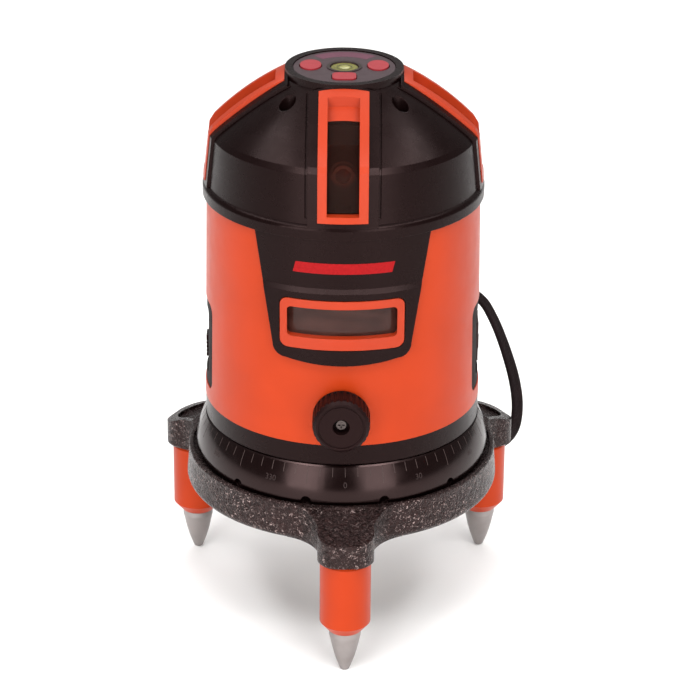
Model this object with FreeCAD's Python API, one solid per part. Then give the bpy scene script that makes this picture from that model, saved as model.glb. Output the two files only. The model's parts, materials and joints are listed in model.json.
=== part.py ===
import FreeCAD, Part
import math
import os

# Five-line cross laser level on a three-armed turning base. Millimetres, +Z up.
# Heights in this file are above the tips of the feet. save() lowers every piece by SEAT_HEIGHT,
# so the origin of the part is the tripod seat on the turning axis. The front is -Y.

Vector = FreeCAD.Vector

# ---- driving dimensions ----
SEAT_HEIGHT = 46.0          # tripod seat above the tips of the feet
FOOT_CIRCLE = 68.6          # radius of the circle through the three feet
FOOT_ANGLES = (-90.0, 30.0, 150.0)
BASE_TURN = 1.7             # at rest the base stands turned this far under the case, in degrees
NECK_RADIUS = 6.5           # neck of a foot sleeve, turning in its boss
BOSS_BORE_TOP = 58.0
BOSS_LOW = 49.2
BOSS_HALF_WIDTH = 10.9
SLEEVE_RADIUS = 9.9
SLEEVE_LOW = 18.2
BODY_RADIUS = 54.5          # orange case at its bottom edge
BODY_TOP_RADIUS = 53.2      # orange case under the head
BODY_BOTTOM = 89.9
BODY_TOP = 174.4
ABOVE_ALL = 230.0           # limit of the cutting shapes, above the top of every piece
WALL = 2.4                  # moulded case wall
DIAL_TOP = 81.2
DIAL_BOTTOM = 67.3
DIAL_FLARE_RADIUS = 58.6    # dial skirt at its lower edge
DIAL_TOP_RADIUS = 54.5
CASTING_RADIUS = 61.6
CASTING_BOTTOM = 51.6
CASTING_TOP = 66.8          # top of the raised lip round the dial
CASTING_DECK = 64.6         # flat that the dial and the post stand on
KNOB_HEIGHT = 102.9
KNOB_RADIUS = 11.0
GIMBAL_HEIGHT = 169.0
LENS_WINDOW_WIDTH = 12.0    # clear width of each tall window
WINDOW_FRAME_WIDTH = 19.0
WINDOW_BOTTOM = 181.0
PANEL_LOW = 95.6            # black side panels
PANEL_HIGH = 131.7
PANEL_HALF_WIDTH = 18.6
DOOR_HALF_WIDTH = 30.0
DOOR_LOW = 104.0
DOOR_HIGH = 163.0
LEVEL_HALF_WIDTH = 23.8     # orange frame of the level window
LEVEL_LOW = 130.3
LEVEL_HIGH = 150.7
RUNNING = 0.05              # radial clearance of a turning fit
GAP = 0.3                   # clearance between pieces that move past each other

# ---- fine turning gear: a face gear and its pinion ----
MODULE = 1.0
GEAR_TEETH = 72
PINION_TEETH = 12
GEAR_RADIUS = MODULE * GEAR_TEETH / 2
PINION_RADIUS = MODULE * PINION_TEETH / 2
TOOTH_SHARE = 0.36          # thickness of a tooth at the pitch line, as a share of the pitch
TOOTH_REACH = 0.9 * MODULE  # tooth above the pitch line
TOOTH_ROOT = 1.25 * MODULE  # tooth below the pitch line
FACE_WIDTH = 5.0
GEAR_PITCH_HEIGHT = KNOB_HEIGHT - PINION_RADIUS
SHAFT_RADIUS = 2.5
SHAFT_FRONT = -62.0
BUSH_RADIUS = 4.5

# ---- turning post and clutch ----
POST_RADIUS = 14.0
POST_BORE = 6.0
HUB_RADIUS = 21.95
THREAD_RADIUS = 6.85        # inside of a 5/8-11 thread
INSERT_RADIUS = 13.0

# ---- case fasteners and chassis ----
CASE_POST_ANGLES = (27.0, 153.0, 207.0, 333.0)
CASE_POST_CIRCLE = 48.5
CASE_POST_RADIUS = 4.0
SCREW_RADIUS = 1.6
PILLAR_ANGLES = (40.0, 140.0, 220.0, 320.0)
PILLAR_CIRCLE = 43.5
PILLAR_RADIUS = 3.2
HEAD_SCREW_CIRCLE = 30.0
HEAD_SCREW_ANGLES = (45.0, 135.0, 225.0, 315.0)
HEAD_SCREW_FLOOR = 211.0    # bottom of the four screw recesses
CHASSIS_TOP = 179.0

# ---- top panel ----
KEYPAD_RADIUS = 19.5
KEYPAD_TOP = 224.0
TOP_RING_RADIUS = 22.7
TOP_RING_HEIGHT = 224.4
KEYPAD_UNDERSIDE = 221.6
VIAL_RADIUS = 5.55
VIAL_LOW = 220.2
BOARD_LOW = 217.6           # keypad board and its dome switches
BOARD_TOP = 219.0
DOME_TOP = 219.3
BUTTON_TRAVEL = 0.6
BUTTON_LOW = DOME_TOP + BUTTON_TRAVEL + 0.1
SIDE_BUTTON = (12.9, 1.5, 8.2, 11.4)    # x, y, size in x, size in y
FRONT_BUTTON = (0.0, -11.7, 9.1, 7.8)
FRONT_CORNER = 2.2

# ---- strap ----
LUG_ANGLE = 40.0
LUG_HEIGHT = 118.0
STRAP_RADIUS = 2.4

DIRECTIONS = (("front", 0.0), ("right", 90.0), ("rear", 180.0), ("left", 270.0))


# ---- helpers ----
def turned(shape, degrees):
    copy = shape.copy()
    copy.rotate(Vector(0, 0, 0), Vector(0, 0, 1), degrees)
    return copy


def moved(shape, x, y, z=0.0):
    copy = shape.copy()
    copy.translate(Vector(x, y, z))
    return copy


def polar(radius, degrees, z=0.0):
    angle = math.radians(degrees)
    return Vector(radius * math.cos(angle), radius * math.sin(angle), z)


def fused(shapes):
    whole = shapes[0].multiFuse(shapes[1:]) if len(shapes) > 1 else shapes[0]
    return whole.removeSplitter()


def disc(radius, low, high, x=0.0, y=0.0):
    return Part.makeCylinder(radius, high - low, Vector(x, y, low))


def ring(outer, inner, low, high, x=0.0, y=0.0):
    return disc(outer, low, high, x, y).cut(disc(inner, low - 1, high + 1, x, y))


def block(x0, x1, y0, y1, z0, z1):
    return Part.makeBox(x1 - x0, y1 - y0, z1 - z0, Vector(x0, y0, z0))


def rod_y(radius, y0, y1, x, z):
    return Part.makeCylinder(radius, y1 - y0, Vector(x, y0, z), Vector(0, 1, 0))


def rod_x(radius, x0, x1, y, z):
    return Part.makeCylinder(radius, x1 - x0, Vector(x0, y, z), Vector(1, 0, 0))


def wire_of(points):
    """A closed wire through the points. A step made by arc() is an arc, not a straight line."""
    edges = []
    here = points[0]
    for step in points[1:] + [points[0]]:
        if isinstance(step, dict):
            edges.append(Part.Arc(Vector(*here), Vector(*step["by"]), Vector(*step["to"])).toShape())
            here = step["to"]
        elif Vector(*here).distanceToPoint(Vector(*step)) > 1e-6:
            edges.append(Part.LineSegment(Vector(*here), Vector(*step)).toShape())
            here = step
    return Part.Wire(edges)


def arc(by, to):
    """A step of an outline: an arc through by that ends at to."""
    return {"by": by, "to": to}


def revolved(outline, angle=360.0):
    """Turns an outline of (radius, height) points about the vertical axis."""
    def lift(p):
        return (p[0], 0.0, p[1])
    points = [arc(lift(p["by"]), lift(p["to"])) if isinstance(p, dict) else lift(p) for p in outline]
    face = Part.Face(wire_of(points))
    return face.revolve(Vector(0, 0, 0), Vector(0, 0, 1), angle)


def front_prism(outline, y0=-70.0, y1=-30.0):
    """Extrudes an outline of (x, height) points along Y."""
    def lay(p):
        return (p[0], y0, p[1])
    points = [arc(lay(p["by"]), lay(p["to"])) if isinstance(p, dict) else lay(p) for p in outline]
    return Part.Face(wire_of(points)).extrude(Vector(0, y1 - y0, 0))


def rounded_outline(half_width, low, high, corner):
    """A rectangle with round corners, as (x, height) points."""
    bulge = corner * (1 - math.sqrt(0.5))
    w = half_width
    return [
        (w - corner, low),
        arc((w - bulge, low + bulge), (w, low + corner)),
        (w, high - corner),
        arc((w - bulge, high - bulge), (w - corner, high)),
        (corner - w, high),
        arc((bulge - w, high - bulge), (-w, high - corner)),
        (-w, low + corner),
        arc((bulge - w, low + bulge), (corner - w, low)),
    ]


def rounded_prism(half_width, low, high, corner, y0=-70.0, y1=-30.0):
    return front_prism(rounded_outline(half_width, low, high, corner), y0, y1)


def rounded_plate(x, y, size_x, size_y, corner, low, high):
    """A plate with round corners that lies flat."""
    flat = rounded_prism(size_x / 2, -size_y / 2, size_y / 2, corner, 0.0, high - low)
    flat.rotate(Vector(0, 0, 0), Vector(1, 0, 0), -90)
    return moved(flat, x, y, high)


def body_radius(height):
    """Radius of the orange case, which narrows slightly towards the head."""
    share = (height - BODY_BOTTOM) / (BODY_TOP - BODY_BOTTOM)
    return BODY_RADIUS + (BODY_TOP_RADIUS - BODY_RADIUS) * share


def case_band(inner, outer, low=PANEL_LOW - 20.0, high=BODY_TOP + 8.0):
    """A wall that follows the case, between two distances from its surface."""
    return revolved([
        (body_radius(low) + inner, low),
        (body_radius(low) + outer, low),
        (body_radius(high) + outer, high),
        (body_radius(high) + inner, high),
    ])


def save(name, shape):
    """Writes a piece as STEP, lowered so that the tripod seat is at height zero."""
    assert shape.isValid(), name
    lowered = moved(shape, 0, 0, -SEAT_HEIGHT)
    lowered.exportStep(f"parts/{name}.step")
    print(f"{name:24s} solids {len(shape.Solids):3d}  volume {shape.Volume:10.1f}")


# ---- base casting ----
def arm_outline(hub, boss, fillet, height):
    """Plan of the web between the round hub and a foot boss, with concave flanks."""
    far = hub + fillet
    near = boss + fillet
    cosine = (far ** 2 + FOOT_CIRCLE ** 2 - near ** 2) / (2 * FOOT_CIRCLE * far)
    angle = math.acos(cosine)
    centre = (far * math.cos(angle), far * math.sin(angle))
    hub_touch = (hub * math.cos(angle), hub * math.sin(angle))
    to_boss = (FOOT_CIRCLE - centre[0], -centre[1])
    boss_touch = (centre[0] + to_boss[0] * fillet / near, centre[1] + to_boss[1] * fillet / near)
    middle = ((hub_touch[0] + boss_touch[0]) / 2 - centre[0], (hub_touch[1] + boss_touch[1]) / 2 - centre[1])
    reach = math.hypot(*middle)
    by = (centre[0] + middle[0] * fillet / reach, centre[1] + middle[1] * fillet / reach)
    return wire_of([
        (hub_touch[0], hub_touch[1], height),
        arc((by[0], by[1], height), (boss_touch[0], boss_touch[1], height)),
        (boss_touch[0], -boss_touch[1], height),
        arc((by[0], -by[1], height), (hub_touch[0], -hub_touch[1], height)),
    ])


def slope_cut(drop):
    """Everything above the sloping top of an arm, lowered by drop."""
    slope_start = (CASTING_RADIUS - 0.4, CASTING_TOP - 0.6 - drop)
    slope_end = (FOOT_CIRCLE + BOSS_HALF_WIDTH + 1.0, 58.8 - drop)
    return Part.Face(wire_of([
        (slope_start[0], -40, slope_start[1]),
        (slope_end[0], -40, slope_end[1]),
        (slope_end[0], -40, CASTING_TOP + 9),
        (slope_start[0], -40, CASTING_TOP + 9),
    ])).extrude(Vector(0, 80, 0))


def arm():
    """One arm, along +X: a drafted web that slopes down to a square boss, with a sunk top."""
    web = Part.makeLoft([
        arm_outline(60.4, 10.3, 20.0, CASTING_BOTTOM),
        arm_outline(60.8, BOSS_HALF_WIDTH, 20.0, CASTING_TOP),
    ], True, True)
    boss_corner = 7.5
    size = 2 * BOSS_HALF_WIDTH
    boss = rounded_plate(FOOT_CIRCLE, 0, size, size, boss_corner, BOSS_LOW, CASTING_TOP)
    boss = boss.makeChamfer(0.9, [edge for edge in boss.Edges if edge.BoundBox.ZMax < BOSS_LOW + 0.01])
    solid = web.fuse(boss).cut(slope_cut(0.0))
    border = 2.6
    panel_depth = 1.5
    panel = Part.Face(arm_outline(60.0, BOSS_HALF_WIDTH - border, 20.0 + border, BOSS_LOW))
    panel = panel.extrude(Vector(0, 0, 30)).fuse(
        disc(BOSS_HALF_WIDTH - border, BOSS_LOW, BOSS_LOW + 30, FOOT_CIRCLE - 0.6))
    return solid.cut(panel.common(slope_cut(panel_depth)))


def tribrach_casting():
    lip_inner = 59.6
    seat_boss = 22.0
    hub = revolved([
        (0, CASTING_BOTTOM),
        (59.4, CASTING_BOTTOM),
        arc((61.5, CASTING_BOTTOM + 0.9), (62.3, CASTING_BOTTOM + 3.0)),
        (CASTING_RADIUS, CASTING_TOP - 3.4),
        (CASTING_RADIUS, CASTING_TOP - 0.9),
        arc((CASTING_RADIUS - 0.3, CASTING_TOP - 0.3), (CASTING_RADIUS - 0.9, CASTING_TOP)),
        (lip_inner + 0.3, CASTING_TOP),
        (lip_inner, CASTING_TOP - 0.3),
        (lip_inner, CASTING_DECK),
        (0, CASTING_DECK),
    ])
    pieces = [hub, disc(seat_boss, SEAT_HEIGHT, CASTING_DECK)]
    for angle in FOOT_ANGLES:
        pieces.append(turned(arm(), angle))
    casting = pieces[0].multiFuse(pieces[1:])
    cuts = [disc(INSERT_RADIUS, SEAT_HEIGHT - 1, CASTING_DECK + 1)]
    # the arms stop at the lip, so the deck inside it stays flat
    cuts.append(disc(lip_inner, CASTING_DECK, CASTING_TOP + 5))
    for angle in FOOT_ANGLES:
        place = polar(FOOT_CIRCLE, angle)
        cuts.append(disc(NECK_RADIUS + RUNNING, SEAT_HEIGHT, BOSS_BORE_TOP, place.x, place.y))
    # shallow cored pockets in the underside, between ribs
    pocket_depth = 3.0
    pocket_sweep = 44.0
    for index in range(6):
        pocket = revolved([
            (27, CASTING_BOTTOM - 1),
            (51, CASTING_BOTTOM - 1),
            (50, CASTING_BOTTOM + pocket_depth),
            (28, CASTING_BOTTOM + pocket_depth),
        ], pocket_sweep)
        cuts.append(turned(pocket, 60 * index + 30 - pocket_sweep / 2))
    for place in base_screw_places():
        cuts.append(disc(SCREW_RADIUS, SEAT_HEIGHT, CASTING_DECK + 1, place.x, place.y))
    return casting.cut(Part.makeCompound(cuts)).removeSplitter()


def base_screw_places():
    """Six screws hold the dial, on the ribs, and three hold the post."""
    dial = [polar(54.0, 60 * index) for index in range(6)]
    post = [polar(17.6, 120 * index + 60) for index in range(3)]
    return dial + post


def base_screws():
    """Pan head screws, put in from below, for the dial ring and the turning post."""
    screws = []
    for place in base_screw_places():
        under = CASTING_BOTTOM if place.Length > HUB_RADIUS else SEAT_HEIGHT
        sink = 2.2
        tip = CASTING_DECK + (2.0 if place.Length < HUB_RADIUS else 2.4)
        screws.append(disc(SCREW_RADIUS, under + sink, tip, place.x, place.y))
    return Part.makeCompound(screws)


def dial_ring():
    """Graduated skirt. The twelve half-round notches are cut in its lower edge."""
    foot_radius = 57.4
    inner = 52.6
    outline = [
        (foot_radius, CASTING_DECK),
        (foot_radius, DIAL_BOTTOM - 0.4),
        (DIAL_FLARE_RADIUS, DIAL_BOTTOM),
        arc((57.4, 74.4), (DIAL_TOP_RADIUS + 0.1, DIAL_TOP - 0.6)),
        (DIAL_TOP_RADIUS - 0.5, DIAL_TOP),
        (49.5, DIAL_TOP),
        (49.5, DIAL_TOP - 2.2),
        (inner, DIAL_TOP - 4.2),
        (inner - 1.2, CASTING_DECK),
    ]
    skirt = revolved(outline)
    notch_radius = 2.0
    notches = []
    for index in range(12):
        notch = Part.makeCylinder(notch_radius, 6, Vector(56.2, 0, DIAL_BOTTOM), Vector(1, 0, 0))
        notches.append(turned(notch, 15 + 30 * index))
    for place in base_screw_places()[:6]:
        notches.append(disc(SCREW_RADIUS, CASTING_DECK - 1, CASTING_DECK + 2.4, place.x, place.y))
    return skirt.cut(Part.makeCompound(notches))


def pivot_post():
    flange = 20.4
    top = 104.0
    post = revolved([
        (POST_BORE, CASTING_DECK),
        (flange, CASTING_DECK),
        (flange, CASTING_DECK + 3.0),
        (POST_RADIUS, CASTING_DECK + 3.0),
        (POST_RADIUS, top - 0.8),
        (POST_RADIUS - 0.8, top),
        (POST_BORE, top),
    ])
    holes = [disc(SCREW_RADIUS, CASTING_DECK - 1, CASTING_DECK + 2.0, p.x, p.y)
             for p in base_screw_places()[6:]]
    return post.cut(Part.makeCompound(holes))


def tripod_thread_insert():
    return ring(INSERT_RADIUS, THREAD_RADIUS, SEAT_HEIGHT, CASTING_DECK)


def clutch_spring():
    """Dished spring washer that presses the hub of the face gear onto the post's flange."""
    return revolved([(POST_RADIUS + 0.4, 98.5), (19.0, 98.1), (19.0, 98.7), (POST_RADIUS + 0.4, 99.2)])


def retaining_nut():
    """Round nut on the post, with two slots for a pin spanner."""
    outer = 18.4
    nut = ring(outer, POST_RADIUS, 99.2, 103.0)
    slot = block(-1.5, 1.5, outer - 2.2, outer + 1, 101.0, 104.0)
    return nut.cut(Part.makeCompound([slot, turned(slot, 180)]))


# ---- feet ----
SHANK_RADIUS = 5.0


def foot_guide_pins():
    """Square bars under the bosses that keep the spindles from turning with the sleeves."""
    half = 1.5
    pieces = [block(p.x - half, p.x + half, p.y - half, p.y + half, 22.0, BOSS_BORE_TOP)
              for p in (polar(FOOT_CIRCLE, a) for a in FOOT_ANGLES)]
    return Part.makeCompound(pieces)


def foot_sleeve(angle):
    """Orange thumb sleeve. Its neck turns in the boss and its bore carries the thread."""
    bevel_height = 3.9
    foot_radius = 6.6
    top = BOSS_LOW - GAP
    neck_top = 56.0
    bore = SHANK_RADIUS + RUNNING
    sleeve = revolved([
        (bore, SLEEVE_LOW),
        (foot_radius, SLEEVE_LOW),
        (SLEEVE_RADIUS, SLEEVE_LOW + bevel_height),
        (SLEEVE_RADIUS, top - 0.7),
        (SLEEVE_RADIUS - 0.7, top),
        (NECK_RADIUS, top),
        (NECK_RADIUS, neck_top),
        (bore, neck_top),
    ])
    place = polar(FOOT_CIRCLE, angle)
    return moved(sleeve, place.x, place.y)


def foot_spindle(angle):
    """Steel foot: a blunt, slightly bulged cone under a threaded shank."""
    cone_top = SLEEVE_LOW - GAP
    shank_top = 44.0
    slot_floor = 21.0
    cone = revolved([
        (0, 0),
        (1.0, 0),
        arc((1.6, 0.2), (2.0, 0.8)),
        arc((4.2, 7.2), (5.6, 13.2)),
        (6.2, 15.8),
        (6.2, cone_top),
        (SHANK_RADIUS, cone_top),
        (SHANK_RADIUS, shank_top - 0.8),
        (SHANK_RADIUS - 0.8, shank_top),
        (0, shank_top),
    ])
    half = 1.55
    place = polar(FOOT_CIRCLE, angle)
    return moved(cone.cut(block(-half, half, -half, half, slot_floor, shank_top + 1)), place.x, place.y)


# ---- fine turning gear ----
def tooth_profile(reach, root):
    """Half widths of a straight sided tooth at its top and at its root."""
    pitch = math.pi * MODULE
    half = pitch * TOOTH_SHARE / 2
    slope = math.tan(math.radians(20))
    return half - slope * reach, half + slope * root * 0.8


def ring_gear():
    """Face gear on the clutch hub, which turns on the post against the spring washer."""
    hub_low = 68.0
    hub_top = 98.0
    disc_low = 92.2
    root_height = GEAR_PITCH_HEIGHT - TOOTH_ROOT
    outer = GEAR_RADIUS + FACE_WIDTH / 2 + 0.5
    inner = GEAR_RADIUS - FACE_WIDTH / 2 - 0.5
    gear = revolved([
        (POST_RADIUS + RUNNING, hub_low),
        (HUB_RADIUS, hub_low),
        (HUB_RADIUS, disc_low),
        (outer, disc_low),
        (outer, root_height),
        (inner, root_height),
        (inner - 1.5, disc_low + 2.2),
        (HUB_RADIUS, disc_low + 2.2),
        (HUB_RADIUS, hub_top),
        (POST_RADIUS + RUNNING, hub_top),
    ])
    top, base = tooth_profile(TOOTH_REACH, TOOTH_ROOT)
    tooth = Part.Face(wire_of([
        (inner, -base, root_height - 0.2),
        (inner, base, root_height - 0.2),
        (inner, top, GEAR_PITCH_HEIGHT + TOOTH_REACH),
        (inner, -top, GEAR_PITCH_HEIGHT + TOOTH_REACH),
    ])).extrude(Vector(outer - inner, 0, 0))
    step = 360.0 / GEAR_TEETH
    teeth = [turned(tooth, -90 + step * (index + 0.5)) for index in range(GEAR_TEETH)]
    return gear.multiFuse(teeth)


def pinion_shaft():
    """Steel shaft of the fine knob with the pinion cut on its inner end."""
    shaft = rod_y(SHAFT_RADIUS, SHAFT_FRONT, -(GEAR_RADIUS - FACE_WIDTH / 2), 0, KNOB_HEIGHT)
    top, base = tooth_profile(TOOTH_REACH, TOOTH_ROOT)
    root = PINION_RADIUS - TOOTH_ROOT
    outline = []
    for index in range(PINION_TEETH):
        middle = -math.pi / 2 + 2 * math.pi * index / PINION_TEETH
        for half, radius in ((-base, root), (-top, PINION_RADIUS + TOOTH_REACH),
                             (top, PINION_RADIUS + TOOTH_REACH), (base, root)):
            angle = middle + half / radius
            outline.append((radius * math.cos(angle), KNOB_HEIGHT + radius * math.sin(angle)))
    pinion = front_prism(outline, -(GEAR_RADIUS + FACE_WIDTH / 2), -(GEAR_RADIUS - FACE_WIDTH / 2))
    return shaft.fuse(pinion).removeSplitter()


def fine_knob():
    """Ribbed thumb knob on the front, with a deep centre recess for its screw."""
    face = -65.5
    back = -55.0
    rib_count = 28
    knob = revolved([
        (0, 0),
        (9.6, 0),
        (KNOB_RADIUS - 0.2, 1.0),
        (KNOB_RADIUS, 2.2),
        (KNOB_RADIUS, back - face - 1.0),
        (KNOB_RADIUS - 1.2, back - face),
        (0, back - face),
    ])
    screw_recess = disc(3.25, -1, 4.6)
    face_groove = ring(8.9, 8.2, -1, 0.4)
    cuts = [screw_recess, disc(SHAFT_RADIUS, 3.5, 12.0), face_groove]
    for index in range(rib_count):
        place = polar(KNOB_RADIUS + 0.35, 360.0 * index / rib_count)
        cuts.append(disc(0.8, -1, 9.0, place.x, place.y))
    knob = knob.cut(Part.makeCompound(cuts))
    knob.rotate(Vector(0, 0, 0), Vector(1, 0, 0), -90)
    return moved(knob, 0, face, KNOB_HEIGHT)


def knob_screw():
    """Small cross-head screw at the bottom of the knob's recess."""
    head_radius = 1.9
    half = 1.3
    thin = 0.3
    head_front = -63.2
    slot_floor = -62.5
    head = rod_y(head_radius, head_front, SHAFT_FRONT, 0, KNOB_HEIGHT)
    bars = [block(-half, half, head_front - 1, slot_floor, KNOB_HEIGHT - thin, KNOB_HEIGHT + thin),
            block(-thin, thin, head_front - 1, slot_floor, KNOB_HEIGHT - half, KNOB_HEIGHT + half)]
    return head.cut(Part.makeCompound(bars))


def knob_bush():
    """Bearing of the knob's shaft in the wall of the case."""
    bush = rod_y(BUSH_RADIUS, -54.4, -50.0, 0, KNOB_HEIGHT)
    return bush.cut(rod_y(SHAFT_RADIUS + RUNNING, -60, -40, 0, KNOB_HEIGHT))


# ---- case ----
def base_plate():
    """Black foot of the case. A bracket on it holds the inner end of the knob's shaft."""
    low = 81.5
    plate_low = 86.0
    outer = 54.4
    plate = revolved([
        (HUB_RADIUS + RUNNING, plate_low),
        (51.0, plate_low),
        (51.0, low),
        (outer - 0.5, low),
        (outer, low + 0.5),
        (outer, BODY_BOTTOM),
        (HUB_RADIUS + RUNNING, BODY_BOTTOM),
    ])
    bracket = block(-6, 6, -43.4, -40.4, BODY_BOTTOM - 0.5, KNOB_HEIGHT + 5.0)
    holes = [rod_y(SHAFT_RADIUS + RUNNING, -50, -38, 0, KNOB_HEIGHT)]
    for angle in CASE_POST_ANGLES:
        place = polar(CASE_POST_CIRCLE, angle)
        holes.append(disc(SCREW_RADIUS, low, BODY_BOTTOM + 1, place.x, place.y))
    return plate.fuse(bracket).cut(Part.makeCompound(holes))


def case_screws():
    """Four screws that hold the orange case on its foot."""
    screws = []
    for angle in CASE_POST_ANGLES:
        place = polar(CASE_POST_CIRCLE, angle)
        head = disc(2.4, 84.2, 86.0, place.x, place.y)
        shank = disc(SCREW_RADIUS, 86.0, 98.0, place.x, place.y)
        screws.append(head.fuse(shank))
    return Part.makeCompound(screws)


APRON_GAP = 0.15            # between the apron and the recess it lies in
APRON_TOP = BODY_TOP + 1.5
APRON_DEPTH = 0.9           # sunk into the case
APRON_FLAT = 0.8            # proud of the case, above
APRON_PAD = 2.3             # proud of the case, round the level window
FRAME_PROUD = 2.5           # the level window's frame


def apron_outline():
    """The black tongue of the head that runs down the front of the case."""
    top_half = 33.3
    side_half = 26.3
    side_low = 131.0
    corner_half = 21.3
    corner_low = 126.1
    bend_half = 25.0
    bend_low = 127.6
    bottom = 124.1
    return [
        (top_half, APRON_TOP),
        (-top_half, APRON_TOP),
        (-side_half, side_low),
        arc((-bend_half, bend_low), (-corner_half, corner_low)),
        arc((0, bottom), (corner_half, corner_low)),
        arc((bend_half, bend_low), (side_half, side_low)),
    ]


def apron(inner, flat, pad):
    """A skin over the case: flat above, raised into a pad round the level window."""
    low = 118.0
    ledge_low = 153.2
    ledge_high = 154.8
    band = revolved([
        (body_radius(low) + inner, low),
        (body_radius(low) + pad, low),
        (body_radius(ledge_low) + pad, ledge_low),
        (body_radius(ledge_high) + flat, ledge_high),
        (body_radius(APRON_TOP) + flat, APRON_TOP),
        (body_radius(APRON_TOP) + inner, APRON_TOP),
    ])
    return band.common(front_prism(apron_outline()))


def level_prism(inset=0.0):
    corner = 3.2 - inset / 2
    return rounded_prism(LEVEL_HALF_WIDTH - inset, LEVEL_LOW + inset, LEVEL_HIGH - inset, corner)


def panel_prism(inset=0.0):
    corner = 4.0
    return rounded_prism(PANEL_HALF_WIDTH - inset, PANEL_LOW + inset, PANEL_HIGH - inset, corner)


def door_prism(inset=0.0):
    return rounded_prism(DOOR_HALF_WIDTH - inset, DOOR_LOW + inset, DOOR_HIGH - inset, 4.0)


def body_shell():
    """Orange case tube with its openings and its four screw posts."""
    shell = case_band(-WALL, 0.0, BODY_BOTTOM, BODY_TOP)
    posts = []
    for angle in CASE_POST_ANGLES:
        place = polar(CASE_POST_CIRCLE, angle)
        posts.append(disc(CASE_POST_RADIUS, BODY_BOTTOM, 101.0, place.x, place.y))
    limit = disc(BODY_TOP_RADIUS - 0.6, BODY_BOTTOM, BODY_TOP)
    shell = shell.multiFuse([post.common(limit) for post in posts])
    outside = 3.0
    cuts = [
        apron(-APRON_DEPTH - APRON_GAP, outside, outside),
        level_prism(),
        turned(panel_prism(), 90),
        turned(panel_prism(), -90),
        turned(door_prism(), 180),
        rod_y(BUSH_RADIUS, -60, -45, 0, KNOB_HEIGHT),
    ]
    for angle in CASE_POST_ANGLES:
        place = polar(CASE_POST_CIRCLE, angle)
        cuts.append(disc(SCREW_RADIUS, BODY_BOTTOM - 1, 98.0, place.x, place.y))
    return shell.cut(Part.makeCompound(cuts))


# ---- head ----
# Outer line of the window frames, as (radius, height): foot, shoulder start, shoulder end, top.
FRAME_LINE = ((55.1, 174.4), (52.4, 199.9), (50.9, 202.4), (22.4, 223.2))
FRAME_BULGE = 1.5
FRAME_END = 22.75           # the frames end at the top ring
DOME_BULGE = 0.7


def inset_line(line, inset):
    """The same line, moved inwards by inset, as points."""
    normals = []
    for start, end in zip(line, line[1:]):
        along = (end[0] - start[0], end[1] - start[1])
        length = math.hypot(*along)
        normals.append((along[1] / length, -along[0] / length))
    points = []
    for index, point in enumerate(line):
        before = normals[max(index - 1, 0)]
        after = normals[min(index, len(normals) - 1)]
        share = inset / (1 + before[0] * after[0] + before[1] * after[1])
        points.append((point[0] - share * (before[0] + after[0]), point[1] - share * (before[1] + after[1])))
    return points


def bulged_line(line, inset, bulge):
    """The line moved inwards, with the middle of its domed stretch put before its top end."""
    foot, shoulder, edge, top = inset_line(line, inset)
    chord = (top[0] - edge[0], top[1] - edge[1])
    length = math.hypot(*chord)
    middle = ((edge[0] + top[0]) / 2 + chord[1] / length * bulge,
              (edge[1] + top[1]) / 2 - chord[0] / length * bulge)
    return foot, shoulder, edge, middle, top


def head_band(line, outer, inner, bulge=DOME_BULGE):
    """A wall that follows the head, from outer to inner below the line."""
    edges = [bulged_line(line, inset, bulge) for inset in (outer, inner)]
    out, ins = edges
    return revolved([
        out[0], out[1], out[2], arc(out[3], out[4]),
        ins[4], arc(ins[3], ins[2]), ins[1], ins[0],
    ])


def window_slot():
    """The space that a tall window and its frame take out of the head, at the front."""
    half = WINDOW_FRAME_WIDTH / 2
    return block(-half, half, -70, -FRAME_END, WINDOW_BOTTOM, ABOVE_ALL)


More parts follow.
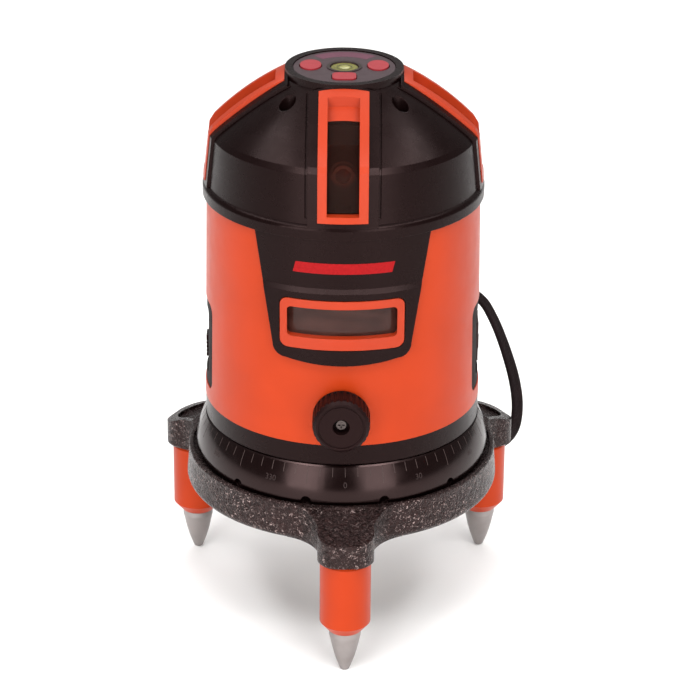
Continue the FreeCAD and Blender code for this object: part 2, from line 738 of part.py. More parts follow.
def head_shell():
    """Black head: dome, four spines round the windows, top ring, and the front apron."""
    spine_half = 13.3
    rim_radius = 54.7
    dome_line = ((53.6, 174.4), (51.2, 198.6), (49.6, 200.6), (22.9, 221.6))
    above_case = disc(DIAL_FLARE_RADIUS, BODY_TOP, ABOVE_ALL)
    wall = head_band(dome_line, 0.0, WALL).common(above_case)
    rim = revolved([
        (BODY_TOP_RADIUS - WALL, BODY_TOP),
        (rim_radius, BODY_TOP),
        (rim_radius, 178.0),
        arc((54.3, 179.0), (53.5, 179.7)),
        (52.6, 180.2),
        (50.6, 181.5),
    ])
    top_ring = ring(TOP_RING_RADIUS, KEYPAD_RADIUS + 0.2, 219.6, TOP_RING_HEIGHT)
    shelf = ring(TOP_RING_RADIUS - 0.5, 18.1, 219.6, 221.6)
    pieces = [wall, rim, top_ring, shelf]
    spine_line = ((54.7, 174.4), (52.1, 199.3), (50.3, 201.4), (22.3, 223.2))
    spine_band = head_band(spine_line, 0.0, WALL)
    for _name, angle in DIRECTIONS:
        strip = block(-spine_half, spine_half, -70, -21.5, BODY_TOP, ABOVE_ALL)
        pieces.append(spine_band.common(turned(strip, angle)))
    foot, shoulder, edge, middle, top = bulged_line(dome_line, 0.3, DOME_BULGE)
    core = revolved([(0, foot[1]), foot, shoulder, edge, arc(middle, top), (0, top[1])])
    for angle in HEAD_SCREW_ANGLES:
        place = polar(HEAD_SCREW_CIRCLE, angle)
        pieces.append(disc(4.4, CHASSIS_TOP, ABOVE_ALL, place.x, place.y).common(core))
    pieces.append(apron(-APRON_DEPTH, APRON_FLAT, APRON_PAD))
    shell = pieces[0].multiFuse(pieces[1:])
    cuts = [turned(window_slot(), angle) for _name, angle in DIRECTIONS]
    cuts.append(level_prism())
    groove_band = head_band(dome_line, -0.2, 0.6)
    for _name, angle in DIRECTIONS:
        for side in (-1, 1):
            edge = side * (spine_half + 0.45)
            groove = block(edge - 0.45, edge + 0.45, -70, -20.0, 182.0, ABOVE_ALL)
            cuts.append(groove_band.common(turned(groove, angle)))
    for angle in HEAD_SCREW_ANGLES:
        place = polar(HEAD_SCREW_CIRCLE, angle)
        cuts.append(disc(3.25, HEAD_SCREW_FLOOR, ABOVE_ALL, place.x, place.y))
        cuts.append(disc(1.5, CHASSIS_TOP - 1, HEAD_SCREW_FLOOR + 1, place.x, place.y))
    return shell.cut(Part.makeCompound(cuts))


def head_screws():
    screws = []
    for angle in HEAD_SCREW_ANGLES:
        place = polar(HEAD_SCREW_CIRCLE, angle)
        head = disc(2.8, HEAD_SCREW_FLOOR, HEAD_SCREW_FLOOR + 2.0, place.x, place.y)
        bars = [block(place.x - 1.8, place.x + 1.8, place.y - 0.35, place.y + 0.35,
                      HEAD_SCREW_FLOOR + 1.0, HEAD_SCREW_FLOOR + 3.0),
                block(place.x - 0.35, place.x + 0.35, place.y - 1.8, place.y + 1.8,
                      HEAD_SCREW_FLOOR + 1.0, HEAD_SCREW_FLOOR + 3.0)]
        shank = disc(1.5, CHASSIS_TOP - 4.0, HEAD_SCREW_FLOOR, place.x, place.y)
        screws.append(head.cut(Part.makeCompound(bars)).fuse(shank))
    return Part.makeCompound(screws)


# ---- tall windows ----
FRAME_DEPTH = 5.0
GLASS_DEPTH = 3.5
BLIND_END = 32.0            # the frame is blind from its top end to this radius
WINDOW_SILL = 2.5           # bottom bar of the frame


def window_frame(angle):
    """Orange frame that bends over the shoulder, with a blind recess at its top end."""
    half = LENS_WINDOW_WIDTH / 2
    bar = (WINDOW_FRAME_WIDTH - LENS_WINDOW_WIDTH) / 2
    whole = head_band(FRAME_LINE, 0.0, FRAME_DEPTH, FRAME_BULGE).common(window_slot())
    opening = block(-half, half, -70, -BLIND_END, WINDOW_BOTTOM + WINDOW_SILL, ABOVE_ALL)
    recess = head_band(FRAME_LINE, -1.0, GLASS_DEPTH, FRAME_BULGE).common(
        block(-half, half, -BLIND_END, -FRAME_END - bar, 200.0, ABOVE_ALL))
    return turned(whole.cut(Part.makeCompound([opening, recess])), angle)


def window_glass(angle):
    """Bent pane that fills the opening of its frame."""
    half = LENS_WINDOW_WIDTH / 2
    opening = block(-half, half, -70, -BLIND_END, WINDOW_BOTTOM + WINDOW_SILL, ABOVE_ALL)
    pane = head_band(FRAME_LINE, GLASS_DEPTH, FRAME_DEPTH, FRAME_BULGE).common(opening)
    return turned(pane, angle)


# ---- level window ----
GLASS_SUNK = 0.8            # the pane lies this far under the surface of the case


def level_window_frame():
    bar = 3.0
    top_bar = 3.5
    sill = 4.9
    outline_gap = 0.3
    whole = case_band(-GLASS_SUNK, FRAME_PROUD).common(level_prism(outline_gap))
    opening = rounded_prism(LEVEL_HALF_WIDTH - bar, LEVEL_LOW + sill, LEVEL_HIGH - top_bar, 1.6)
    return whole.cut(opening)


def level_window_glass():
    return case_band(-WALL, -GLASS_SUNK).common(level_prism(0.2))


# ---- side panels ----
def side_panel(angle):
    """Black panel with a raised border and a shallow field."""
    field_half = 11.0
    field_low = 100.0
    field_high = 127.0
    whole = case_band(-3.2, -0.4).common(panel_prism())
    sunk = case_band(-1.6, 3.0).common(rounded_prism(field_half, field_low, field_high, 2.5))
    return turned(whole.cut(sunk), angle)


SLIDER_HALF = 3.0
SLIDER_LOW = 104.0
SLIDER_SIZE = 9.0
SLIDER_TRAVEL = 8.0


def side_panel_left():
    """Left panel, with the slot of the transport lock."""
    slot = block(-60, -45, -SLIDER_HALF - GAP, SLIDER_HALF + GAP,
                 SLIDER_LOW - GAP, SLIDER_LOW + SLIDER_SIZE + SLIDER_TRAVEL + GAP)
    return side_panel(-90).cut(slot)


def lock_slider():
    """Ribbed slide button of the transport lock. It stands just below the case's surface."""
    tip = -53.9
    body = block(tip, -47.0, -SLIDER_HALF, SLIDER_HALF, SLIDER_LOW, SLIDER_LOW + SLIDER_SIZE)
    flange = block(-50.2, -48.8, -6.0, 6.0, SLIDER_LOW - 2, SLIDER_LOW + SLIDER_SIZE + 2)
    grooves = [block(tip - 1, tip + 0.7, -SLIDER_HALF - 1, SLIDER_HALF + 1,
                     SLIDER_LOW + 1.3 + 1.6 * index, SLIDER_LOW + 2.1 + 1.6 * index)
               for index in range(4)]
    return body.fuse(flange).cut(Part.makeCompound(grooves))


JACK_HEIGHT = 112.5
FLAP_HINGE = (53.0, 6.6)


def side_panel_right():
    """Right panel, with the pocket of the power socket's cover."""
    pocket = block(51.7, 60, -6.6, 8.0, JACK_HEIGHT - 8.4, JACK_HEIGHT + 8.4)
    bore = rod_x(4.0, 45, 60, -0.5, JACK_HEIGHT)
    return side_panel(90).cut(Part.makeCompound([pocket, bore]))


def power_jack():
    """Barrel socket behind the right panel."""
    shell = rod_x(3.95, 42.0, 51.6, -0.5, JACK_HEIGHT).cut(rod_x(2.75, 43.2, 52, -0.5, JACK_HEIGHT))
    return shell.fuse(rod_x(1.05, 43.0, 50.8, -0.5, JACK_HEIGHT))


def jack_cover():
    """Small flap over the power socket, hinged at its rear edge."""
    x, y = FLAP_HINGE
    half = 8.0
    plate = block(x - 0.7, x + 0.7, -6.2, y - 0.2, JACK_HEIGHT - half, JACK_HEIGHT + half)
    knuckle = disc(0.9, JACK_HEIGHT - half, JACK_HEIGHT + half, x, y)
    lip = block(x + 0.5, x + 0.9, -5.8, -4.8, JACK_HEIGHT - 3, JACK_HEIGHT + 3)
    return plate.multiFuse([knuckle, lip]).removeSplitter()


# ---- battery ----
CELL_RADIUS = 7.2
CELL_CIRCLE = 42.3
CELL_ANGLES = tuple(90 + 20.4 * step for step in (-1.5, -0.5, 0.5, 1.5))
CELL_LOW = 109.4
CELL_LENGTH = 50.0


def battery_holder():
    """Moulded tray with four open channels for the cells."""
    whole = revolved([(33.6, 107.4), (48.4, 107.4), (48.4, 161.4), (33.6, 161.4)], 84.0)
    whole = turned(whole, 48.0)
    cuts = []
    for angle in CELL_ANGLES:
        place = polar(CELL_CIRCLE, angle)
        cuts.append(disc(CELL_RADIUS + 0.2, CELL_LOW - 0.2, CELL_LOW + CELL_LENGTH + 0.2, place.x, place.y))
    cuts.append(ring(60, 43.0, CELL_LOW - 0.2, CELL_LOW + CELL_LENGTH + 0.2))
    return whole.cut(Part.makeCompound(cuts))


def battery_cells():
    cells = []
    for angle in CELL_ANGLES:
        place = polar(CELL_CIRCLE, angle)
        can = disc(CELL_RADIUS, CELL_LOW, CELL_LOW + CELL_LENGTH - 1.2, place.x, place.y)
        cells.append(can.fuse(disc(2.7, CELL_LOW, CELL_LOW + CELL_LENGTH, place.x, place.y)))
    return Part.makeCompound(cells)


def battery_door():
    """Orange cover on the back with a ribbed thumb recess near its top edge."""
    recess_low = 150.5
    recess_high = 158.5
    recess_floor = -1.0
    door = case_band(-WALL, 0.0).common(door_prism(GAP))
    recess = case_band(recess_floor, 2.0).common(rounded_prism(9.0, recess_low, recess_high, 2.0))
    ribs = []
    for index in range(4):
        rib_low = recess_low + 1.3 + 1.8 * index
        ribs.append(block(-8.0, 8.0, -70, -30, rib_low, rib_low + 0.9))
    raised = case_band(recess_floor, -0.1).common(Part.makeCompound(ribs))
    return turned(door.cut(recess).fuse(raised), 180)


# ---- chassis, gimbal and pendulum ----
RING_LOW = 165.0
RING_HIGH = 173.0
PIN_RADIUS = 1.5


def chassis_frame():
    """Four pillars and a ring that carry the gimbal, with pads for the head's screws."""
    pieces = [ring(47.4, 36.0, RING_LOW, RING_HIGH)]
    for angle in PILLAR_ANGLES:
        place = polar(PILLAR_CIRCLE, angle)
        pieces.append(disc(PILLAR_RADIUS, BODY_BOTTOM, RING_LOW + 1, place.x, place.y))
    for angle in HEAD_SCREW_ANGLES:
        riser = block(37.5, 44.5, -4, 4, RING_HIGH - 1, CHASSIS_TOP)
        pad = block(26.0, 44.5, -4, 4, CHASSIS_TOP - 3.2, CHASSIS_TOP)
        pieces.append(turned(riser.fuse(pad), angle))
    holes = [rod_x(PIN_RADIUS + RUNNING, -50, 50, 0, GIMBAL_HEIGHT)]
    for angle in HEAD_SCREW_ANGLES:
        place = polar(HEAD_SCREW_CIRCLE, angle)
        holes.append(disc(1.5, CHASSIS_TOP - 5, CHASSIS_TOP + 1, place.x, place.y))
    return fused(pieces).cut(Part.makeCompound(holes))


def damper_plate():
    """Copper plate under the pendulum's magnet. Four spokes fix it to the pillars."""
    low = 104.4
    high = 106.2
    pieces = [ring(24.0, 9.0, low, high)]
    for angle in PILLAR_ANGLES:
        pieces.append(turned(block(22.0, PILLAR_CIRCLE, -2.5, 2.5, low, high), angle))
    pillars = []
    for angle in PILLAR_ANGLES:
        place = polar(PILLAR_CIRCLE, angle)
        pillars.append(disc(PILLAR_RADIUS, low - 1, high + 1, place.x, place.y))
    return fused(pieces).cut(Part.makeCompound(pillars))


def gimbal_ring():
    """Ring on two pins along X in the chassis. It holds the pendulum's pins along Y."""
    body = ring(33.0, 28.4, GIMBAL_HEIGHT - 3.5, GIMBAL_HEIGHT + 3.5)
    pins = [rod_x(PIN_RADIUS, start, start + 11.0, 0, GIMBAL_HEIGHT) for start in (30.0, -41.0)]
    return body.multiFuse(pins).cut(rod_y(PIN_RADIUS + RUNNING, -40, 40, 0, GIMBAL_HEIGHT))


COLUMN_RADIUS = 11.0
LASER_RADIUS = 5.0
LASER_HEIGHT = 193.0
LEVEL_LASER_HEIGHT = 141.0
PENDULUM_BOTTOM = 114.0


def pendulum_frame():
    """Column that hangs in the gimbal and holds all the laser modules."""
    column = disc(COLUMN_RADIUS, PENDULUM_BOTTOM + 8.0, LASER_HEIGHT - 8.0)
    collar = ring(25.6, 21.0, GIMBAL_HEIGHT - 3.0, GIMBAL_HEIGHT + 3.0)
    spokes = [block(-22, 22, -3, 3, GIMBAL_HEIGHT - 2.5, GIMBAL_HEIGHT + 2.5),
              block(-3, 3, -22, 22, GIMBAL_HEIGHT - 2.5, GIMBAL_HEIGHT + 2.5)]
    pins = [rod_y(PIN_RADIUS, start, start + 7.5, 0, GIMBAL_HEIGHT) for start in (24.0, -31.5)]
    head = [block(-18, 18, -7, 7, LASER_HEIGHT - 8, LASER_HEIGHT + 6),
            block(-7, 7, -18, 18, LASER_HEIGHT - 8, LASER_HEIGHT + 6)]
    saddle = block(-7.5, 7.5, -20.0, 0, LEVEL_LASER_HEIGHT - 7.5, LEVEL_LASER_HEIGHT + 7.5)
    whole = fused([column, collar, saddle] + spokes + pins + head)
    bores = [rod_x(LASER_RADIUS, -40, -10, 0, LASER_HEIGHT), rod_x(LASER_RADIUS, 10, 40, 0, LASER_HEIGHT)]
    bores += [rod_y(LASER_RADIUS, -40, -10, 0, LASER_HEIGHT), rod_y(LASER_RADIUS, 10, 40, 0, LASER_HEIGHT)]
    bores.append(rod_y(LASER_RADIUS + 0.5, -40, -8, 0, LEVEL_LASER_HEIGHT))
    bores.append(disc(4.6, PENDULUM_BOTTOM - 1, PENDULUM_BOTTOM + 18))
    return whole.cut(Part.makeCompound(bores))


def laser_barrel(radius, start, end):
    """A laser module, lying along -Y, with a recessed line lens at its outer end."""
    barrel = revolved([
        (0, 0), (radius, 0), (radius, end - start - 3.0), (radius - 0.8, end - start - 3.0),
        (radius - 0.8, end - start), (radius - 2.0, end - start), (radius - 2.0, end - start - 1.2),
        (0, end - start - 1.2),
    ])
    barrel.rotate(Vector(0, 0, 0), Vector(1, 0, 0), 90)
    return moved(barrel, 0, -start)


def vertical_lasers():
    barrel = moved(laser_barrel(LASER_RADIUS, 10.0, 36.0), 0, 0, LASER_HEIGHT)
    return Part.makeCompound([turned(barrel, angle) for _name, angle in DIRECTIONS])


def horizontal_laser():
    return moved(laser_barrel(LASER_RADIUS + 0.5, 8.0, 38.0), 0, 0, LEVEL_LASER_HEIGHT)


def plumb_laser():
    return ring(4.6, 2.4, PENDULUM_BOTTOM, PENDULUM_BOTTOM + 3).fuse(
        disc(4.6, PENDULUM_BOTTOM + 3, PENDULUM_BOTTOM + 18))


def damper_magnet():
    """Brass weight with the damping magnets, at the foot of the pendulum."""
    return ring(16.5, 4.6, PENDULUM_BOTTOM, PENDULUM_BOTTOM + 8.0).fuse(
        ring(16.5, COLUMN_RADIUS, PENDULUM_BOTTOM + 8.0, PENDULUM_BOTTOM + 12.0))


def lock_pad():
    """Ring that the transport lock lifts under the pendulum's weight."""
    low = 107.4
    arm_end = -46.0
    return fused([ring(15.0, 9.5, low, low + 1.9), block(arm_end, -13.0, -2.5, 2.5, low, low + 1.9)])


# ---- boards ----
def main_pcb():
    """Driver board on the right, with its larger components."""
    board = block(45.2, 46.8, -15, 15, 124.0, 163.5)
    parts = [block(43.0, 45.2, -9, 2, 133, 144), block(42.0, 45.2, 6, 12, 128, 134),
             block(43.6, 45.2, -4, 8, 150, 157)]
    return board.multiFuse(parts)


def keypad_pcb():
    """Board under the top panel, with a dome switch for each button."""
    board = disc(18.4, BOARD_LOW, BOARD_TOP)
    domes = []
    for x, y, _size_x, _size_y in (SIDE_BUTTON, mirrored(SIDE_BUTTON), FRONT_BUTTON):
        domes.append(disc(2.2, BOARD_TOP - 0.1, DOME_TOP, x, y))
    return board.multiFuse(domes)


# ---- top panel ----
def button_shape(place, low, high, grow, corner):
    """Outline of a button, from low to high. Without a corner radius it is an ellipse."""
    x, y, size_x, size_y = place
    if corner is None:
        outline = Part.Ellipse(Vector(0, 0, 0), size_y / 2 + grow, size_x / 2 + grow).toShape()
        flat = Part.Face(Part.Wire([outline]))
        flat.rotate(Vector(0, 0, 0), Vector(0, 0, 1), 90)
        return moved(flat.extrude(Vector(0, 0, high - low)), x, y, low)
    return rounded_plate(x, y, size_x + 2 * grow, size_y + 2 * grow, corner + grow, low, high)


def mirrored(place):
    """The same place on the left."""
    return (-place[0],) + place[1:]


def keypad_plate():
    """Round top panel with the button openings and the cup of the vial."""
    cup = disc(VIAL_RADIUS + 1.2, VIAL_LOW - 0.8, KEYPAD_TOP + 0.3)
    plate = disc(KEYPAD_RADIUS, KEYPAD_UNDERSIDE, KEYPAD_TOP).fuse(cup)
    cuts = [
        button_shape(SIDE_BUTTON, BUTTON_LOW, ABOVE_ALL, GAP, None),
        button_shape(mirrored(SIDE_BUTTON), BUTTON_LOW, ABOVE_ALL, GAP, None),
        button_shape(FRONT_BUTTON, BUTTON_LOW, ABOVE_ALL, GAP, FRONT_CORNER),
        disc(VIAL_RADIUS, VIAL_LOW, ABOVE_ALL),
    ]
    return plate.cut(Part.makeCompound(cuts)).removeSplitter()


def button(place, corner):
    """A key cap with its flange under the panel, over a dome switch."""
    cap_top = KEYPAD_TOP + 0.5
    flange_top = KEYPAD_UNDERSIDE - 0.4
    cap = button_shape(place, BUTTON_LOW + 0.4, cap_top, 0.0, corner)
    flange = button_shape(place, BUTTON_LOW, flange_top, 0.6, corner)
    return cap.fuse(flange)


def vial():
    """Round spirit vial with a bevelled top edge."""
    top = KEYPAD_TOP - 0.1
    bevel = 0.5
    return revolved([
        (0, VIAL_LOW),
        (VIAL_RADIUS, VIAL_LOW),
        (VIAL_RADIUS, top - bevel),
        (VIAL_RADIUS - bevel, top),
        (0, top),
    ])


# ---- strap ----
def strap_lug():
    """Staple on the case that the wrist strap is looped through."""
    bar_out = -59.6
    bar_in = -57.9
    half = 5.6
    thick = 1.3
    pad = case_band(-0.1, 1.1).common(rounded_prism(7.2, LUG_HEIGHT - 4.5, LUG_HEIGHT + 4.5, 1.5))
    pad = pad.cut(case_band(-3.0, 0.0))
    bar = block(-half, half, bar_out, bar_in, LUG_HEIGHT - thick, LUG_HEIGHT + thick)
    legs = [block(side * (half - 0.9) - 0.9, side * (half - 0.9) + 0.9, bar_out, -54.9,
                  LUG_HEIGHT - thick, LUG_HEIGHT + thick) for side in (-1, 1)]
    legs = [leg.cut(case_band(-5.0, 0.0)) for leg in legs]
    return turned(fused([pad, bar] + legs), 90 + LUG_ANGLE)


# The strap hangs as one loop from the lug. Its lower end hangs outside the circle that the arms
# and feet sweep, so the base turns under the case without touching it.
STRAP_ROUTE = (
    (45.9, 38.5, 118.0), (56.0, 40.0, 113.6), (62.9, 41.6, 100.6), (68.2, 44.2, 85.5),
    (72.4, 47.0, 70.5), (74.2, 49.6, 56.5), (72.6, 52.9, 42.5), (64.2, 58.8, 32.0),
    (54.2, 67.0, 32.0), (48.0, 71.0, 42.0), (47.0, 70.2, 55.5), (47.2, 65.6, 69.5),
    (47.4, 57.6, 84.0), (48.0, 49.6, 97.5), (47.4, 42.2, 109.5), (45.6, 38.3, 116.7),
)


def strap():
    """Round stand-in of the flat strap: straight runs joined by tangent arcs."""
    points = [Vector(*p) for p in STRAP_ROUTE]
    edges = []
    here = points[0]
    for before, corner, after in zip(points, points[1:], points[2:]):
        back = (before - corner)
        ahead = (after - corner)
        run = min(back.Length, ahead.Length)
        back.normalize()
        ahead.normalize()
        half_turn = (math.pi - back.getAngle(ahead)) / 2
        cut_back = 0.45 * run
        radius = cut_back / math.tan(half_turn)
        start = corner + back * cut_back
        end = corner + ahead * cut_back
        inward = back + ahead
        inward.normalize()
        centre_distance = math.hypot(radius, cut_back)
        middle = corner + inward * (centre_distance - radius)
        edges.append(Part.LineSegment(here, start).toShape())
        edges.append(Part.Arc(start, middle, end).toShape())
        here = end
    edges.append(Part.LineSegment(here, points[-1]).toShape())
    path = Part.Wire(edges)
    heading = points[1] - points[0]
    ring_wire = Part.Wire([Part.Circle(points[0], heading, STRAP_RADIUS).toShape()])
    return path.makePipeShell([ring_wire], True, True)


def main():
    os.makedirs("parts", exist_ok=True)
    save("tribrach_casting", turned(tribrach_casting(), BASE_TURN))
    save("base_screws", turned(base_screws(), BASE_TURN))
    save("dial_ring", turned(dial_ring(), BASE_TURN))
    save("pivot_post", turned(pivot_post(), BASE_TURN))
    save("tripod_thread_insert", tripod_thread_insert())
    save("clutch_spring", clutch_spring())
    save("retaining_nut", turned(retaining_nut(), BASE_TURN))
    save("foot_guide_pins", turned(foot_guide_pins(), BASE_TURN))
    for index, angle in enumerate(FOOT_ANGLES, 1):
        save(f"foot_sleeve_{index}", foot_sleeve(angle + BASE_TURN))
        save(f"foot_spindle_{index}", foot_spindle(angle + BASE_TURN))
    save("ring_gear", ring_gear())
    save("pinion_shaft", pinion_shaft())
    save("fine_knob", fine_knob())
    save("knob_screw", knob_screw())
    save("knob_bush", knob_bush())
    save("base_plate", base_plate())
    save("case_screws", case_screws())
    save("body_shell", body_shell())
    save("head_shell", head_shell())
    save("head_screws", head_screws())
    for name, angle in DIRECTIONS:
        save(f"window_frame_{name}", window_frame(angle))
        save(f"window_glass_{name}", window_glass(angle))
    save("level_window_frame", level_window_frame())
    save("level_window_glass", level_window_glass())
    save("side_panel_left", side_panel_left())
    save("side_panel_right", side_panel_right())
    save("lock_slider", lock_slider())
    save("lock_pad", lock_pad())
    save("power_jack", power_jack())
    save("jack_cover", jack_cover())
    save("battery_holder", battery_holder())
    save("battery_cells", battery_cells())
    save("battery_door", battery_door())
    save("chassis_frame", chassis_frame())
    save("damper_plate", damper_plate())
    save("gimbal_ring", gimbal_ring())
    save("pendulum_frame", pendulum_frame())
    save("vertical_lasers", vertical_lasers())
    save("horizontal_laser", horizontal_laser())
    save("plumb_laser", plumb_laser())
    save("damper_magnet", damper_magnet())
    save("main_pcb", main_pcb())
    save("keypad_pcb", keypad_pcb())
    save("keypad_plate", keypad_plate())
    save("button_left", button(mirrored(SIDE_BUTTON), None))
    save("button_right", button(SIDE_BUTTON, None))
    save("button_front", button(FRONT_BUTTON, FRONT_CORNER))
    save("vial", vial())
    save("strap_lug", strap_lug())
    save("strap", strap())


main()
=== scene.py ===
import json
import math

import bmesh
import bpy
from mathutils import Matrix, Vector
from mathutils.bvhtree import BVHTree


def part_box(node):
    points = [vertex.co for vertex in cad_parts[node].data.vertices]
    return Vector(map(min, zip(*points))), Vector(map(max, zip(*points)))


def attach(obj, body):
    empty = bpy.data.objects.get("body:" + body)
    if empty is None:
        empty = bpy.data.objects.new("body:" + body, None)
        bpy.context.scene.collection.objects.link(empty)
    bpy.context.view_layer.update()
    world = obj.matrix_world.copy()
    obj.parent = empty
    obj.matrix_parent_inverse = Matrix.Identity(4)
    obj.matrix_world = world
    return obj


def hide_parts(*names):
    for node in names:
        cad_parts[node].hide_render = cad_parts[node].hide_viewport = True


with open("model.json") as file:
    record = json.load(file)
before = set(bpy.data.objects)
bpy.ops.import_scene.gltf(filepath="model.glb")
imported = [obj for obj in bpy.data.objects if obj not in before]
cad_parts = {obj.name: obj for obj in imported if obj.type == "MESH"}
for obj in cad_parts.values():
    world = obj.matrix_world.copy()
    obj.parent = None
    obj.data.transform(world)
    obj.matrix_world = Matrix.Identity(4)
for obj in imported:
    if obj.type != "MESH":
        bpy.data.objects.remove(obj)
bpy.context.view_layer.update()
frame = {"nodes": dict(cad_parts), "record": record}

# ---- places, in metres, from the frame ----
MM = 0.001
FLOOR_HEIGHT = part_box("foot_spindle_1")[0].z
DIAL_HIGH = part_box("dial_ring")[1]
KEYPAD_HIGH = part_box("keypad_plate")[1]
VIAL_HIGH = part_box("vial")[1]
NODES = frame["nodes"]

# ---- studio ----
LIGHT_AIM_HEIGHT = 60 * MM
FLOOR_HALF = 3.0
# Name, azimuth and elevation in degrees, distance, width and height in metres, power in watts.
SOFT_BOXES = (
    ("soft_left", -28, 16, 1.5, 0.7, 1.1, 15),
    ("soft_right", 28, 16, 1.5, 0.7, 1.1, 12.5),
    ("high_front", 0, 61, 1.5, 1.6, 0.26, 13),
    ("high_left", -68, 58, 1.5, 1.6, 0.26, 9),
    ("high_right", 68, 58, 1.5, 1.6, 0.26, 9),
    ("soft_top", 180, 78, 1.9, 1.6, 1.6, 10),
    ("soft_back", 180, 46, 2.4, 2.4, 1.2, 24),
)

# ---- prints and lenses ----
INK_THICKNESS = 0.03 * MM
INK_DEPTH = 0.05 * MM         # how far a print's underside is sunk, so that no gap shows
DIAL_RADIUS = 57.0 * MM       # where a print on the dial is as wide as it was drawn
RAY_START = 120 * MM          # outside the whole object
LENS_SINK = 0.1 * MM


# ---- camera, floor and light ----
def camera():
    """A long lens in front of the object, looking down on it."""
    distance = 1.1237
    elevation = math.radians(24.22)
    roll_angle = math.radians(0.5)
    aim_right = 3.07 * MM
    aim_height = 105.7 * MM
    target = Vector((aim_right, 0, FLOOR_HEIGHT + aim_height))
    data = bpy.data.cameras.new("camera")
    data.lens = 145.06
    data.sensor_width = 36.0
    data.clip_start = 0.05
    data.clip_end = 60.0
    eye = bpy.data.objects.new("camera", data)
    bpy.context.collection.objects.link(eye)
    eye.location = target + distance * Vector((0, -math.cos(elevation), math.sin(elevation)))
    tilt = Matrix.Rotation(math.pi / 2 - elevation, 3, "X")
    roll = Matrix.Rotation(roll_angle, 3, "Z")
    eye.rotation_euler = (tilt @ roll).to_euler()
    bpy.context.scene.camera = eye


def area_light(name, azimuth, elevation, distance, width, height, power):
    """A soft box that faces the object. Azimuth 0 is in front, and 90 on the right."""
    data = bpy.data.lights.new(name, "AREA")
    data.shape = "RECTANGLE"
    data.size = width
    data.size_y = height
    data.energy = power
    lamp = bpy.data.objects.new(name, data)
    bpy.context.collection.objects.link(lamp)
    side = math.radians(azimuth)
    rise = math.radians(elevation)
    centre = Vector((0, 0, LIGHT_AIM_HEIGHT))
    away = Vector((math.sin(side) * math.cos(rise), -math.cos(side) * math.cos(rise), math.sin(rise)))
    lamp.location = centre + distance * away
    lamp.rotation_euler = away.to_track_quat("Z", "Y").to_euler()


def studio():
    """A pale floor under soft light from the front, both sides, above and behind."""
    world = bpy.data.worlds.new("studio")
    world.use_nodes = True
    background = world.node_tree.nodes["Background"]
    background.inputs["Color"].default_value = (1.0, 0.99, 0.98, 1)
    background.inputs["Strength"].default_value = 0.26
    bpy.context.scene.world = world
    bpy.context.scene.view_settings.view_transform = "Standard"
    for box in SOFT_BOXES:
        area_light(*box)
    mesh = bpy.data.meshes.new("floor")
    corners = [(-FLOOR_HALF, -FLOOR_HALF, FLOOR_HEIGHT), (FLOOR_HALF, -FLOOR_HALF, FLOOR_HEIGHT),
               (FLOOR_HALF, FLOOR_HALF, FLOOR_HEIGHT), (-FLOOR_HALF, FLOOR_HALF, FLOOR_HEIGHT)]
    mesh.from_pydata(corners, [], [(0, 1, 2, 3)])
    floor = bpy.data.objects.new("floor", mesh)
    bpy.context.collection.objects.link(floor)
    look = Look("floor_white", srgb(247, 246, 245), 0.6)
    floor.data.materials.append(look.material)


# ---- materials ----
def srgb(red, green, blue):
    """Linear colour of a display colour given as 0 to 255."""
    def linear(value):
        share = value / 255
        return share / 12.92 if share <= 0.04045 else ((share + 0.055) / 1.055) ** 2.4
    return (linear(red), linear(green), linear(blue), 1.0)


WARM = (1.0, 0.66, 0.64)    # the warm cast of the light that the plastics reflect


def scaled(colour, factor):
    """The same colour, darker or lighter."""
    return tuple(min(1.0, channel * factor) for channel in colour[:3]) + (1.0,)


